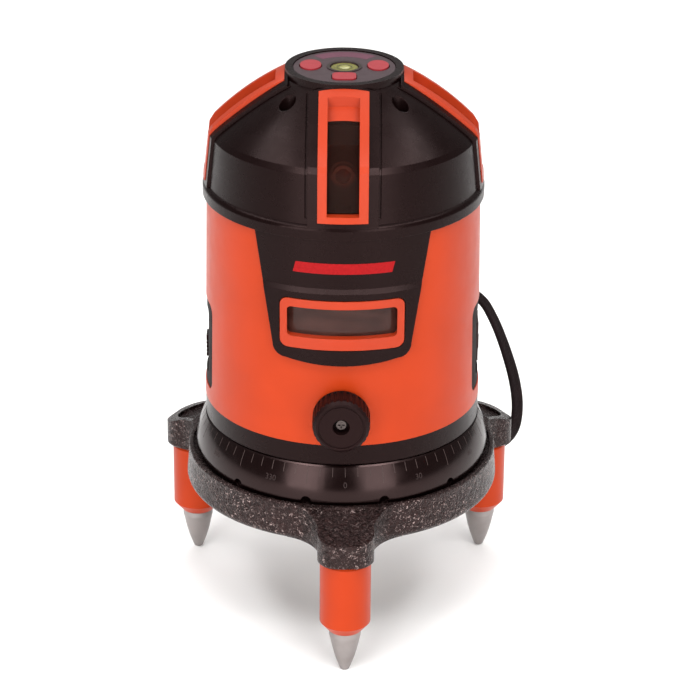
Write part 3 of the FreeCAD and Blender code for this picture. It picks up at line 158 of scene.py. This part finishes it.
class Look:
    """A material with one Principled shader, and short ways to add nodes to it."""

    def __init__(self, name, colour, roughness, metallic=0.0, specular=0.5, tint=(1.0, 1.0, 1.0)):
        self.material = bpy.data.materials.new(name)
        self.material.use_nodes = True
        self.tree = self.material.node_tree
        self.shader = self.tree.nodes["Principled BSDF"]
        self.shader.inputs["Base Color"].default_value = colour
        self.shader.inputs["Roughness"].default_value = roughness
        self.shader.inputs["Metallic"].default_value = metallic
        self.shader.inputs["Specular IOR Level"].default_value = specular
        self.shader.inputs["Specular Tint"].default_value = (*tint, 1.0)
        self.place = self.node("ShaderNodeTexCoord").outputs["Object"]
        self.normal = None

    def node(self, kind, **settings):
        """Adds a shader node."""
        made = self.tree.nodes.new(kind)
        for key, value in settings.items():
            setattr(made, key, value)
        return made

    def join(self, source, target):
        """Links an output socket to an input socket."""
        self.tree.links.new(source, target)

    def stretched(self, x, y, z):
        """The place, scaled along each axis, for grain that runs one way."""
        mapping = self.node("ShaderNodeMapping")
        mapping.inputs["Scale"].default_value = (x, y, z)
        self.join(self.place, mapping.inputs["Vector"])
        return mapping.outputs["Vector"]

    def noise(self, size, detail=2.0, rough=0.5, place=None, distortion=0.0):
        """Smooth noise whose features are about size metres across."""
        made = self.node("ShaderNodeTexNoise")
        made.inputs["Scale"].default_value = 1 / size
        made.inputs["Detail"].default_value = detail
        made.inputs["Roughness"].default_value = rough
        made.inputs["Distortion"].default_value = distortion
        self.join(place or self.place, made.inputs["Vector"])
        return made.outputs["Fac"]

    def cells(self, size):
        """Distance to the middle of soft-edged cells that are about size metres across."""
        made = self.node("ShaderNodeTexVoronoi", feature="SMOOTH_F1")
        made.inputs["Scale"].default_value = 1 / size
        self.join(self.place, made.inputs["Vector"])
        return made.outputs["Distance"]

    def spread(self, value, low, high, to_low=0.0, to_high=1.0):
        """Maps value from low..high to another range, clamped."""
        made = self.node("ShaderNodeMapRange")
        for key, number in (("From Min", low), ("From Max", high), ("To Min", to_low), ("To Max", to_high)):
            made.inputs[key].default_value = number
        self.join(value, made.inputs["Value"])
        return made.outputs["Result"]

    def product(self, first, second):
        """One socket times another."""
        made = self.node("ShaderNodeMath", operation="MULTIPLY")
        self.join(first, made.inputs[0])
        self.join(second, made.inputs[1])
        return made.outputs["Value"]

    def blend(self, share, first, second):
        """A colour between two colours. Each is four numbers or a socket."""
        made = self.node("ShaderNodeMix", data_type="RGBA")
        share_in, first_in, second_in = made.inputs[0], made.inputs[6], made.inputs[7]
        for socket, value in ((first_in, first), (second_in, second)):
            if isinstance(value, tuple):
                socket.default_value = value
            else:
                self.join(value, socket)
        self.join(share, share_in)
        colour_out = made.outputs[2]
        return colour_out

    def colour(self, socket):
        """Gives the shader its colour."""
        self.join(socket, self.shader.inputs["Base Color"])

    def roughness(self, socket):
        """Gives the shader its roughness."""
        self.join(socket, self.shader.inputs["Roughness"])

    def bump(self, height, depth, strength=1.0):
        """Adds relief, depth metres high, on top of what is there already."""
        made = self.node("ShaderNodeBump")
        made.inputs["Distance"].default_value = depth
        made.inputs["Strength"].default_value = strength
        self.join(height, made.inputs["Height"])
        if self.normal:
            self.join(self.normal, made.inputs["Normal"])
        self.normal = made.outputs["Normal"]
        self.join(self.normal, self.shader.inputs["Normal"])

    def round_edges(self, radius):
        """Catches light along sharp edges, as a moulded or machined edge does."""
        made = self.node("ShaderNodeBevel", samples=4)
        made.inputs["Radius"].default_value = radius
        self.normal = made.outputs["Normal"]
        self.join(self.normal, self.shader.inputs["Normal"])

    def worn_edges(self, radius):
        """1 on the worn stretches of the sharp edges, and 0 on the flats."""
        patch = 4 * MM
        rounded = self.node("ShaderNodeBevel", samples=4)
        rounded.inputs["Radius"].default_value = radius
        plain = self.node("ShaderNodeNewGeometry")
        alike = self.node("ShaderNodeVectorMath", operation="DOT_PRODUCT")
        self.join(rounded.outputs["Normal"], alike.inputs[0])
        self.join(plain.outputs["Normal"], alike.inputs[1])
        edge = self.spread(alike.outputs["Value"], 0.97, 0.85)
        rubbed = self.spread(self.noise(patch, detail=4.0, rough=0.6), 0.42, 0.62)
        return self.product(edge, rubbed)


def moulded(name, colour, roughness, grain=0.5 * MM, relief=0.012 * MM, specular=0.5, worn=1.5):
    """Moulded plastic: spark-eroded grain, faint colour drift, uneven gloss, and rubbed edges lightened by
    the factor worn, which is wear and, on the black plastics, also a painted highlight along the edges.
    """
    look = Look(name, colour, roughness, specular=specular, tint=WARM)
    drift = look.spread(look.noise(30 * MM, detail=3.0), 0.35, 0.65)
    base = look.blend(drift, scaled(colour, 0.9), colour)
    # edge lightening by worn: rubbed wear, and where worn is large a painted highlight along the edges
    edge = look.worn_edges(0.35 * MM)
    look.colour(look.blend(edge, base, scaled(colour, worn)))
    smear = look.noise(9 * MM, detail=4.0, rough=0.6)
    look.roughness(look.spread(smear, 0.3, 0.7, roughness - 0.05, roughness + 0.05))
    look.round_edges(0.25 * MM)
    look.bump(look.noise(grain, detail=3.0, rough=0.6), relief)
    return look.material


def orange_case():
    """The case tube, the battery door and the foot sleeves."""
    return moulded("orange_case", srgb(167, 51, 14), roughness=0.36, grain=0.6 * MM,
                   relief=0.003 * MM, specular=0.20, worn=1.15)


def orange_window():
    """The window frames: glossier than the case."""
    return moulded("orange_window", srgb(160, 48, 19), roughness=0.34, grain=0.6 * MM,
                   relief=0.003 * MM, specular=0.30, worn=1.15)


def black_case():
    """The head, the base plate and the strap lug."""
    # worn=4.0: edges four times lighter, as wear and a painted highlight
    return moulded("black_case", srgb(13, 5, 5), roughness=0.28, grain=0.4 * MM,
                   relief=0.006 * MM, specular=0.125, worn=4.0)


def black_side():
    """The side panels: as black as the head, but dull."""
    # worn=4.0: edges four times lighter, as wear and a painted highlight
    return moulded("black_side", srgb(13, 5, 5), roughness=0.55, grain=0.4 * MM,
                   relief=0.008 * MM, specular=0.05, worn=4.0)


def black_satin():
    """The dial ring: smoother than the head, with a soft sheen."""
    return moulded("black_satin", srgb(9, 3, 3), roughness=0.19, grain=0.6 * MM,
                   relief=0.002 * MM, specular=0.29, worn=2.6)


def black_knob():
    """The fine knob and the lock button."""
    return moulded("black_knob", srgb(21, 10, 10), roughness=0.38, grain=0.5 * MM,
                   relief=0.01 * MM, specular=0.10, worn=2.6)


def casting_paint():
    """Crinkled black paint, glossy, so its wrinkles glint. Its pale flecks are painted glints, and fewer
    show on level, upward faces, as painted shade on the top faces.
    """
    look = Look("casting_paint", srgb(30, 20, 20), 0.22, specular=0.27, tint=WARM)
    wrinkles = look.noise(1.9 * MM, detail=2.5, rough=0.62, distortion=1.4)
    fine = look.noise(0.6 * MM, detail=2.0, rough=0.6)
    # pale flecks in the colour: painted glints of the crinkles, in patches
    painted_glint = look.spread(look.noise(1.1 * MM, detail=2.0, rough=0.7, distortion=1.2), 0.60, 0.68)
    patches = look.spread(look.noise(14 * MM), 0.35, 0.6, 0.35, 1.0)
    deep = look.spread(wrinkles, 0.42, 0.58)
    ground = look.blend(deep, srgb(4, 2, 2), srgb(27, 17, 16))
    # fewer painted glints on faces that look up: painted shade on the top faces
    lie = look.node("ShaderNodeSeparateXYZ")
    look.join(look.node("ShaderNodeNewGeometry").outputs["Normal"], lie.inputs["Vector"])
    painted_top_shade = look.spread(lie.outputs["Z"], 0.5, 0.95, 1.0, 0.25)
    glints_shown = look.product(look.product(painted_glint, patches), painted_top_shade)
    look.colour(look.blend(glints_shown, ground, srgb(170, 150, 146)))
    look.roughness(look.spread(wrinkles, 0.4, 0.6, 0.32, 0.16))
    look.round_edges(0.5 * MM)
    look.bump(wrinkles, 1.1 * MM, strength=0.9)
    look.bump(fine, 0.12 * MM, strength=0.7)
    return look.material


def turned_steel():
    """Satin turned steel with fine tool rings."""
    look = Look("turned_steel", srgb(180, 173, 171), 0.36, metallic=1.0)
    rings = look.noise(0.3 * MM, detail=2.0, rough=0.6, place=look.stretched(0.02, 0.02, 1.0))
    handled = look.noise(12 * MM, detail=3.0)
    look.colour(look.blend(look.spread(handled, 0.4, 0.7), srgb(152, 146, 144), srgb(138, 131, 129)))
    look.roughness(look.spread(handled, 0.3, 0.7, 0.32, 0.42))
    look.bump(rings, 0.004 * MM)
    return look.material


def plain_metal(name, colour, roughness):
    """Brushed or plated metal with uneven gloss and brighter edges."""
    look = Look(name, colour, roughness, metallic=1.0)
    brushed = look.noise(0.4 * MM, detail=2.0, rough=0.6, place=look.stretched(1.0, 1.0, 0.08))
    edge = look.worn_edges(0.3 * MM)
    look.colour(look.blend(edge, colour, scaled(colour, 1.3)))
    look.roughness(look.spread(brushed, 0.3, 0.7, roughness - 0.06, roughness + 0.1))
    look.bump(brushed, 0.008 * MM)
    return look.material


def dark_glass():
    """Tinted pane: the modules behind it show only faintly."""
    look = Look("dark_glass", srgb(140, 96, 84), 0.04, specular=0.10)
    look.shader.inputs["Transmission Weight"].default_value = 0.97
    look.shader.inputs["IOR"].default_value = 1.12
    dust = look.noise(2 * MM, detail=5.0, rough=0.7)
    look.roughness(look.spread(dust, 0.4, 0.75, 0.04, 0.14))
    return look.material


def level_glass():
    """The pane of the level window: a little milkier than the tall ones; its pale milky colour is a painted
    reflection.
    """
    look = Look("level_glass", srgb(112, 62, 50), 0.12, specular=0.3)
    look.shader.inputs["Transmission Weight"].default_value = 0.55
    look.shader.inputs["IOR"].default_value = 1.3
    painted_reflection_haze = look.noise(6 * MM, detail=3.0, rough=0.6, place=look.stretched(0.4, 1.0, 1.6))
    # pale streaky tone of the pane: painted reflection
    look.colour(look.blend(look.spread(painted_reflection_haze, 0.35, 0.65), srgb(60, 34, 28), srgb(84, 52, 45)))
    look.roughness(look.spread(painted_reflection_haze, 0.3, 0.7, 0.08, 0.2))
    return look.material


def lens_glass():
    """A coated lens, between plum and rust red."""
    look = Look("lens_glass", srgb(190, 150, 160), 0.02, specular=0.9)
    coating = look.noise(2 * MM, detail=1.0)
    look.colour(look.blend(look.spread(coating, 0.3, 0.7), srgb(120, 60, 90), srgb(160, 90, 80)))
    look.shader.inputs["Coat Weight"].default_value = 1.0
    look.shader.inputs["Coat Roughness"].default_value = 0.02
    return look.material


def board():
    """Green circuit board with its tracks under the lacquer."""
    look = Look("board", srgb(28, 96, 58), 0.4)
    tracks = look.noise(2.2 * MM, detail=1.0)
    look.colour(look.blend(look.spread(tracks, 0.5, 0.54), srgb(24, 84, 50), srgb(38, 112, 70)))
    look.bump(tracks, 0.03 * MM)
    return look.material


def film(name, colour, roughness=0.42):
    """Printed polyester film, with a fine grain and faint finger marks."""
    look = Look(name, colour, roughness, specular=0.25, tint=WARM)
    grain = look.noise(0.25 * MM)
    marks = look.noise(7 * MM, detail=4.0, rough=0.6)
    look.colour(look.blend(look.spread(marks, 0.35, 0.7), colour, scaled(colour, 0.88)))
    look.roughness(look.spread(marks, 0.3, 0.7, roughness - 0.08, roughness + 0.08))
    look.round_edges(0.2 * MM)
    look.bump(grain, 0.006 * MM)
    return look.material


def vial_fluid():
    """Yellow-green fluid under the vial's clear top."""
    look = Look("vial_fluid", srgb(98, 96, 42), 0.12, specular=0.4)
    depth = look.noise(6 * MM)
    look.colour(look.blend(look.spread(depth, 0.35, 0.65), srgb(94, 92, 40), srgb(112, 108, 50)))
    look.shader.inputs["Coat Weight"].default_value = 0.5
    look.shader.inputs["Coat Roughness"].default_value = 0.05
    return look.material


def woven(name, colour):
    """Flat nylon braid: small raised cells, fine threads, and paler where it is worn."""
    look = Look(name, colour, 0.75, specular=0.05)
    threads = look.noise(0.55 * MM, detail=1.0, place=look.stretched(1.0, 1.0, 1.6))
    weave = look.cells(0.9 * MM)
    worn = look.spread(look.noise(8 * MM, detail=3.0), 0.45, 0.75)
    look.colour(look.blend(worn, colour, scaled(colour, 1.7)))
    look.roughness(look.spread(threads, 0.3, 0.7, 0.62, 0.88))
    look.shader.inputs["Sheen Weight"].default_value = 0.05
    look.bump(weave, 0.16 * MM)
    look.bump(threads, 0.06 * MM)
    return look.material


def printed(name, colour, roughness=0.45, specular=0.3):
    """Pad-printed ink: thin, slightly mottled."""
    look = Look(name, colour, roughness, specular=specular)
    mottle = look.noise(0.8 * MM, detail=3.0, rough=0.6)
    look.colour(look.blend(look.spread(mottle, 0.35, 0.7), colour, scaled(colour, 0.8)))
    look.roughness(look.spread(mottle, 0.3, 0.7, roughness - 0.08, roughness + 0.12))
    look.bump(mottle, 0.004 * MM)
    return look.material


MATERIALS = {
    "casting_paint": casting_paint,
    "dial_black": black_satin,
    "orange_plastic": orange_case,
    "orange_window": orange_window,
    "black_plastic": black_case,
    "black_knob": black_knob,
    "keypad_film": lambda: film("keypad_film", srgb(52, 40, 44)),
    "red_button": lambda: film("red_button", srgb(140, 39, 46), 0.4),
    "window_glass": dark_glass,
    "vial_fluid": vial_fluid,
    "steel": turned_steel,
    "screw_steel": lambda: plain_metal("screw_steel", srgb(104, 96, 94), 0.35),
    "brass": lambda: plain_metal("brass", srgb(216, 176, 104), 0.3),
    "copper_plate": lambda: plain_metal("copper_plate", srgb(200, 128, 92), 0.3),
    "aluminium": lambda: plain_metal("aluminium", srgb(200, 200, 202), 0.36),
    "gear_plastic": lambda: moulded("gear_plastic", srgb(222, 218, 206), 0.4),
    "board_green": board,
    "cell_wrap": lambda: moulded("cell_wrap", srgb(52, 70, 110), 0.3),
    "holder_black": lambda: moulded("holder_black", srgb(40, 38, 38), 0.5),
    "strap_nylon": lambda: moulded("strap_stand_in", srgb(31, 25, 25), 0.7),
    "rubber_black": lambda: moulded("rubber_black", srgb(34, 29, 29), 0.6),
}


def dress_frame():
    """Gives every CAD node the material of its slot, and a few nodes one of their own."""
    side_black = black_side()
    own = {
        "side_panel_left": side_black,
        "side_panel_right": side_black,
        "level_window_glass": level_glass(),
        "knob_screw": plain_metal("knob_screw_steel", srgb(84, 76, 74), 0.4),
        "pinion_shaft": plain_metal("blackened_steel", srgb(30, 25, 24), 0.45),
        "head_screws": plain_metal("dark_screw_steel", srgb(62, 54, 52), 0.4),
    }
    made = {}
    for entry in frame["record"]["subparts"]:
        name = entry["material_slot"]
        if name not in made:
            made[name] = MATERIALS[name]()
        node = NODES[entry["node"]]
        node.data.materials.clear()
        node.data.materials.append(own.get(entry["node"], made[name]))


# ---- strap ----
# The route of the strap's stand-in, from the lug, down past the foot, and up again.
STRAP_ROUTE = (
    (0.0459, 0.0385, 0.0720), (0.0560, 0.0400, 0.0676), (0.0629, 0.0416, 0.0546), (0.0682, 0.0442, 0.0395),
    (0.0724, 0.0470, 0.0245), (0.0742, 0.0496, 0.0105), (0.0726, 0.0529, -0.0035), (0.0642, 0.0588, -0.0140),
    (0.0542, 0.0670, -0.0140), (0.0480, 0.0710, -0.0040), (0.0470, 0.0702, 0.0095), (0.0472, 0.0656, 0.0235),
    (0.0474, 0.0576, 0.0380), (0.0480, 0.0496, 0.0515), (0.0474, 0.0422, 0.0635), (0.0456, 0.0383, 0.0707),
)
STRAP_WIDTH = 5.4 * MM
STRAP_THICK = 1.7 * MM
EYE_WIDTH = 5.0 * MM
EYE_THICK = 0.9 * MM


def smooth_route(points):
    """Points along the NURBS spline of a route."""
    data = bpy.data.curves.new("route", "CURVE")
    data.dimensions = "3D"
    spline = data.splines.new("NURBS")
    spline.points.add(len(points) - 1)
    for point, place in zip(spline.points, points):
        point.co = (*place, 1.0)
    spline.order_u = 3
    spline.use_endpoint_u = True
    spline.resolution_u = 10
    holder = bpy.data.objects.new("route", data)
    mesh = bpy.data.meshes.new_from_object(holder)
    line = [vertex.co.copy() for vertex in mesh.vertices]
    bpy.data.meshes.remove(mesh)
    bpy.data.objects.remove(holder)
    bpy.data.curves.remove(data)
    return line


def band_section(width, thick):
    """Corners, as across and through, round a flat band with soft edges and a sunk middle."""
    half = width / 2
    quarter = width / 4
    inset = half - thick * 0.32
    face = thick / 2
    sunk = thick * 0.46
    edge = thick * 0.18
    return [(inset, face), (quarter, sunk), (-quarter, sunk), (-inset, face),
            (-half, edge), (-half, -edge),
            (-inset, -face), (-quarter, -sunk), (quarter, -sunk), (inset, -face),
            (half, -edge), (half, edge)]


def swept_band(name, line, across, width, thick, closed=False):
    """A flat band along a line. across(share) says which way its width lies."""
    mesh = bmesh.new()
    section = band_section(width, thick)
    rings = []
    last = len(line) - 1
    for index, place in enumerate(line):
        before = line[(index - 1) % len(line)] if closed or index else place
        after = line[(index + 1) % len(line)] if closed or index < last else place
        along = (after - before).normalized()
        side = across(index / last)
        side = (side - side.dot(along) * along).normalized()
        face = along.cross(side)
        rings.append([mesh.verts.new(place + wide * side + deep * face) for wide, deep in section])
    count = len(section)
    pairs = list(zip(rings, rings[1:]))
    if closed:
        pairs.append((rings[-1], rings[0]))
    for here, there in pairs:
        for k in range(count):
            mesh.faces.new((here[k], here[(k + 1) % count], there[(k + 1) % count], there[k]))
    if not closed:
        mesh.faces.new(list(reversed(rings[0])))
        mesh.faces.new(rings[-1])
    return finished(name, mesh)


def finished(name, mesh, smooth=True):
    """A Blender object from a bmesh, with its normals outward."""
    bmesh.ops.recalc_face_normals(mesh, faces=mesh.faces)
    data = bpy.data.meshes.new(name)
    mesh.to_mesh(data)
    mesh.free()
    if smooth:
        data.shade_smooth()
        data.set_sharp_from_angle(angle=math.radians(50))
    made = bpy.data.objects.new(name, data)
    bpy.context.collection.objects.link(made)
    return made


def strap():
    """The wrist strap: a flat braid that twists slowly, looped through its lug."""
    line = smooth_route(STRAP_ROUTE)
    loop_normal = Vector((0.35, 1.0, 0.0)).normalized()
    outward = Vector((0.9, -0.3, 0.35)).normalized()
    end_twist = 10
    added_twist = 48

    def across(share):
        twist = math.radians(end_twist + added_twist * math.sin(math.pi * share) ** 2)
        return math.cos(twist) * loop_normal + math.sin(twist) * outward

    band = swept_band("strap_band", line, across, STRAP_WIDTH, STRAP_THICK)
    braid = woven("strap_braid", srgb(20, 10, 11))
    band.data.materials.append(braid)
    eye = strap_eye()
    eye.data.materials.append(braid)
    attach(band, "housing")
    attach(eye, "housing")
    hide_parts("strap")


def strap_eye():
    """The sewn eye of the strap, round the bar of the lug."""
    low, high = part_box("strap_lug")
    out = Vector((STRAP_ROUTE[0][0], STRAP_ROUTE[0][1], 0)).normalized()
    bar_distance = 58.75 * MM
    centre = bar_distance * out + Vector((0, 0, (low.z + high.z) / 2))
    half_out = 1.75 * MM
    half_up = 2.25 * MM
    power = 0.7                 # below 1, it squares the oval
    steps = 32
    line = []
    for index in range(steps):
        angle = 2 * math.pi * index / steps
        level = math.copysign(abs(math.cos(angle)) ** power, math.cos(angle))
        upright = math.copysign(abs(math.sin(angle)) ** power, math.sin(angle))
        line.append(centre + half_out * level * out + Vector((0, 0, half_up * upright)))
    bar_line = Vector((-out.y, out.x, 0))
    return swept_band("strap_eye", line, lambda share: bar_line, EYE_WIDTH, EYE_THICK, closed=True)


# ---- pieces laid on the frame's surfaces ----
def surface(node):
    """A search tree of a CAD node's surface."""
    mesh = NODES[node].data
    return BVHTree.FromPolygons([v.co for v in mesh.vertices], [p.vertices[:] for p in mesh.polygons])


def facing(azimuth):
    """Level direction: 0 is the front, and a quarter turn the right."""
    return Vector((math.sin(azimuth), -math.cos(azimuth), 0))


def laid(vertex, tree, start, direction):
    """Moves a vertex to where a ray meets the surface. Its z becomes its height over the surface."""
    hit, normal, _index, _distance = tree.ray_cast(start, direction)
    vertex.co = hit + vertex.co.z * normal


def wrapped(mesh, tree, azimuth, height):
    """Lays a flat bmesh, drawn in x and y, on the dial, at an azimuth and a height."""
    for vertex in mesh.verts:
        out = facing(azimuth + vertex.co.x / DIAL_RADIUS)
        start = RAY_START * out + Vector((0, 0, height + vertex.co.y))
        laid(vertex, tree, start, -out)


def slab(mesh, x0, x1, y0, y1, low, high, slant=0.0, columns=1, rows=1):
    """Adds a thin closed plate, in cells small enough to bend."""
    def corner(i, j, z):
        y = y0 + (y1 - y0) * j / rows
        return mesh.verts.new((x0 + (x1 - x0) * i / columns + slant * (y - y0), y, z))
    top = [[corner(i, j, high) for j in range(rows + 1)] for i in range(columns + 1)]
    under = [[corner(i, j, low) for j in range(rows + 1)] for i in range(columns + 1)]
    for i in range(columns):
        for j in range(rows):
            mesh.faces.new((top[i][j], top[i + 1][j], top[i + 1][j + 1], top[i][j + 1]))
            mesh.faces.new((under[i][j], under[i][j + 1], under[i + 1][j + 1], under[i + 1][j]))
    for i in range(columns):
        mesh.faces.new((under[i][0], under[i + 1][0], top[i + 1][0], top[i][0]))
        mesh.faces.new((top[i][rows], top[i + 1][rows], under[i + 1][rows], under[i][rows]))
    for j in range(rows):
        mesh.faces.new((top[0][j], top[0][j + 1], under[0][j + 1], under[0][j]))
        mesh.faces.new((under[columns][j], under[columns][j + 1], top[columns][j + 1], top[columns][j]))


def numeral(text, size):
    """A closed bmesh of a number, centred on x, standing on y = 0."""
    data = bpy.data.curves.new("numeral", "FONT")
    data.body = text
    data.size = size
    data.align_x = "CENTER"
    data.extrude = INK_THICKNESS
    data.resolution_u = 3
    holder = bpy.data.objects.new("numeral", data)
    flat = bpy.data.meshes.new_from_object(holder)
    mesh = bmesh.new()
    mesh.from_mesh(flat)
    merge_distance = 0.0001 * MM
    bmesh.ops.remove_doubles(mesh, verts=mesh.verts, dist=merge_distance)
    bpy.data.meshes.remove(flat)
    bpy.data.objects.remove(holder)
    bpy.data.curves.remove(data)
    return mesh


def added(whole, part):
    """Puts one bmesh into another."""
    data = bpy.data.meshes.new("part")
    part.to_mesh(data)
    part.free()
    whole.from_mesh(data)
    bpy.data.meshes.remove(data)


def dial_scale():
    """Lines every 5 degrees round the dial, long ones every 30, and numbers half way between those."""
    tree = surface("dial_ring")
    foot_low, foot_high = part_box("foot_spindle_1")
    foot = (foot_low + foot_high) / 2
    turn = math.atan2(foot.x, -foot.y)
    top = DIAL_HIGH.z - 0.65 * MM
    line_step = 5
    number_step = 30
    line_width = 0.22 * MM
    long_line = 6.0 * MM
    short_line = 3.2 * MM
    number_size = 3.1 * MM
    number_drop = 7.2 * MM
    lines = bmesh.new()
    numbers = bmesh.new()
    for degrees in range(0, 360, line_step):
        azimuth = turn + math.radians(degrees)
        length = long_line if degrees % number_step == number_step / 2 else short_line
        tick = bmesh.new()
        slab(tick, -line_width / 2, line_width / 2, -length, 0, -INK_DEPTH, INK_THICKNESS, rows=6)
        wrapped(tick, tree, azimuth, top)
        added(lines, tick)
        if degrees % number_step == 0:
            number = numeral(str(degrees), number_size)
            wrapped(number, tree, azimuth, top - number_drop)
            added(numbers, number)
    scale = finished("dial_lines", lines, smooth=False)
    figures = finished("dial_numbers", numbers, smooth=False)
    ink = printed("dial_ink", srgb(66, 54, 52), 0.6, 0.15)
    faded = printed("number_ink", srgb(46, 35, 34), 0.6, 0.15)
    for piece, paint in ((scale, ink), (figures, faded)):
        piece.data.materials.append(paint)
        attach(piece, "base")


def apron_bar():
    """A plain red bar with slanted ends on the black apron, over the level window."""
    tree = surface("head_shell")
    frame_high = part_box("level_window_frame")[1].z
    half_width = 18.6 * MM
    height = 4.2 * MM
    low = frame_high + 10.4 * MM
    sunk = 0.1 * MM
    proud = 0.06 * MM
    backward = Vector((0, 1, 0))
    bar = bmesh.new()
    slab(bar, -half_width, half_width, 0, height, -sunk, proud, slant=0.25, columns=24, rows=3)
    for vertex in bar.verts:
        start = Vector((vertex.co.x, -RAY_START, low + vertex.co.y))
        laid(vertex, tree, start, backward)
    piece = finished("apron_bar", bar, smooth=False)
    piece.data.materials.append(printed("red_ink", srgb(142, 5, 10), 0.45, 0.12))
    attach(piece, "housing")


# ---- vial, keypad and lenses ----
def flat_ring(mesh, outer, inner, low, high, start=0.0, end=2 * math.pi, steps=64):
    """Adds a flat ring, or part of one, round the axis."""
    nearly_round = 2 * math.pi - 0.001
    full = end - start > nearly_round
    count = steps if full else steps + 1
    loops = []
    for index in range(count):
        angle = start + (end - start) * index / steps
        out = Vector((math.cos(angle), math.sin(angle), 0))
        loops.append([mesh.verts.new(radius * out + Vector((0, 0, z)))
                      for radius, z in ((inner, low), (outer, low), (outer, high), (inner, high))])
    pairs = list(zip(loops, loops[1:]))
    if full:
        pairs.append((loops[-1], loops[0]))
    for here, there in pairs:
        for k in range(4):
            mesh.faces.new((here[k], here[(k + 1) % 4], there[(k + 1) % 4], there[k]))
    if not full:
        mesh.faces.new(list(reversed(loops[0])))
        mesh.faces.new(loops[-1])


def dome(mesh, centre, axis, radius, sag, sink):
    """Adds a shallow closed dome, sag high, on a disc that faces along axis. Its foot is sunk a little."""
    rings = 8
    steps = 40
    side = axis.orthogonal().normalized()
    other = axis.cross(side)
    spokes = []
    for k in range(steps):
        angle = 2 * math.pi * k / steps
        spokes.append(math.cos(angle) * side + math.sin(angle) * other)
    profile = [(radius, -sink)]
    for i in range(rings):
        rise = 0.5 * math.pi * i / rings
        profile.append((radius * math.cos(rise), sag * math.sin(rise)))
    loops = []
    for reach, lift in profile:
        loops.append([mesh.verts.new(centre + lift * axis + reach * spoke) for spoke in spokes])
    for here, there in zip(loops, loops[1:]):
        for k in range(steps):
            mesh.faces.new((here[k], here[(k + 1) % steps], there[(k + 1) % steps], there[k]))
    tip = mesh.verts.new(centre + sag * axis)
    for k in range(steps):
        mesh.faces.new((loops[-1][k], loops[-1][(k + 1) % steps], tip))
    mesh.faces.new(list(reversed(loops[0])))


def bubble_look():
    """Air under the vial's top: paler than the fluid, and glossy."""
    look = Look("bubble", srgb(130, 128, 76), 0.06, specular=0.6)
    clear = look.noise(3 * MM, detail=1.0)
    look.colour(look.blend(look.spread(clear, 0.3, 0.7), srgb(120, 118, 66), srgb(142, 140, 88)))
    return look.material


def vial_details():
    """The ring printed on the vial, its bubble, and the dark rim of its cup."""
    top = VIAL_HIGH.z
    mark_outer = 3.05 * MM
    mark_inner = 2.6 * MM
    marks = bmesh.new()
    flat_ring(marks, mark_outer, mark_inner, top - 0.1 * MM, top + 0.04 * MM)
    ring = finished("vial_ring", marks)
    ring.data.materials.append(printed("vial_ink", srgb(66, 66, 24), 0.35))
    bubble_centre = Vector((0.1 * MM, 0.2 * MM, top))
    upward = Vector((0, 0, 1))
    air = bmesh.new()
    dome(air, bubble_centre, upward, radius=2.1 * MM, sag=0.25 * MM, sink=0.2 * MM)
    bubble = finished("vial_bubble", air)
    bubble.data.materials.append(bubble_look())
    plate_top = KEYPAD_HIGH.z
    cup = VIAL_HIGH.x
    rim_width = 1.2 * MM
    rim_gap = 0.02 * MM
    rim_mesh = bmesh.new()
    flat_ring(rim_mesh, cup + rim_width, cup + rim_gap, plate_top - 0.2 * MM, plate_top + 0.05 * MM)
    rim = finished("vial_rim", rim_mesh)
    rim.data.materials.append(film("rim_print", srgb(30, 24, 20), 0.4))
    for piece, slot in ((ring, "vial_fluid"), (bubble, "vial_fluid"), (rim, "keypad_film")):
        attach(piece, "housing")


def keypad_print():
    """The tinted band printed along the rear edge of the keypad."""
    plate = KEYPAD_HIGH.z - 0.3 * MM
    outer = KEYPAD_HIGH.x - 1.6 * MM
    inner = KEYPAD_HIGH.x - 7.2 * MM
    start = math.radians(48)
    end = math.radians(132)
    band = bmesh.new()
    flat_ring(band, outer, inner, plate - INK_DEPTH, plate + INK_THICKNESS, start, end, steps=32)
    piece = finished("keypad_band", band)
    piece.data.materials.append(film("band_print", srgb(84, 44, 60), 0.42))
    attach(piece, "housing")


def laser_lenses():
    """A coated lens in the mouth of every vertical and horizontal laser module."""
    glass = lens_glass()
    low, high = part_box("vertical_lasers")
    height = (low.z + high.z) / 2
    mouth = 1.2 * MM
    upper = bmesh.new()
    for azimuth in (0, 90, 180, 270):
        out = facing(math.radians(azimuth))
        centre = (high.x - mouth) * out + Vector((0, 0, height))
        dome(upper, centre, out, radius=2.95 * MM, sag=0.9 * MM, sink=LENS_SINK)
    level_low, level_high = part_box("horizontal_laser")
    lower = bmesh.new()
    centre = Vector((0, level_low.y + mouth, (level_low.z + level_high.z) / 2))
    dome(lower, centre, facing(0), radius=3.45 * MM, sag=1.0 * MM, sink=LENS_SINK)
    for name, mesh in (("upper_lenses", upper), ("level_lens", lower)):
        piece = finished(name, mesh)
        piece.data.materials.append(glass)
        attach(piece, "pendulum")


camera()
strap()
studio()
dress_frame()
dial_scale()
apron_bar()
vial_details()
keypad_print()
laser_lenses()
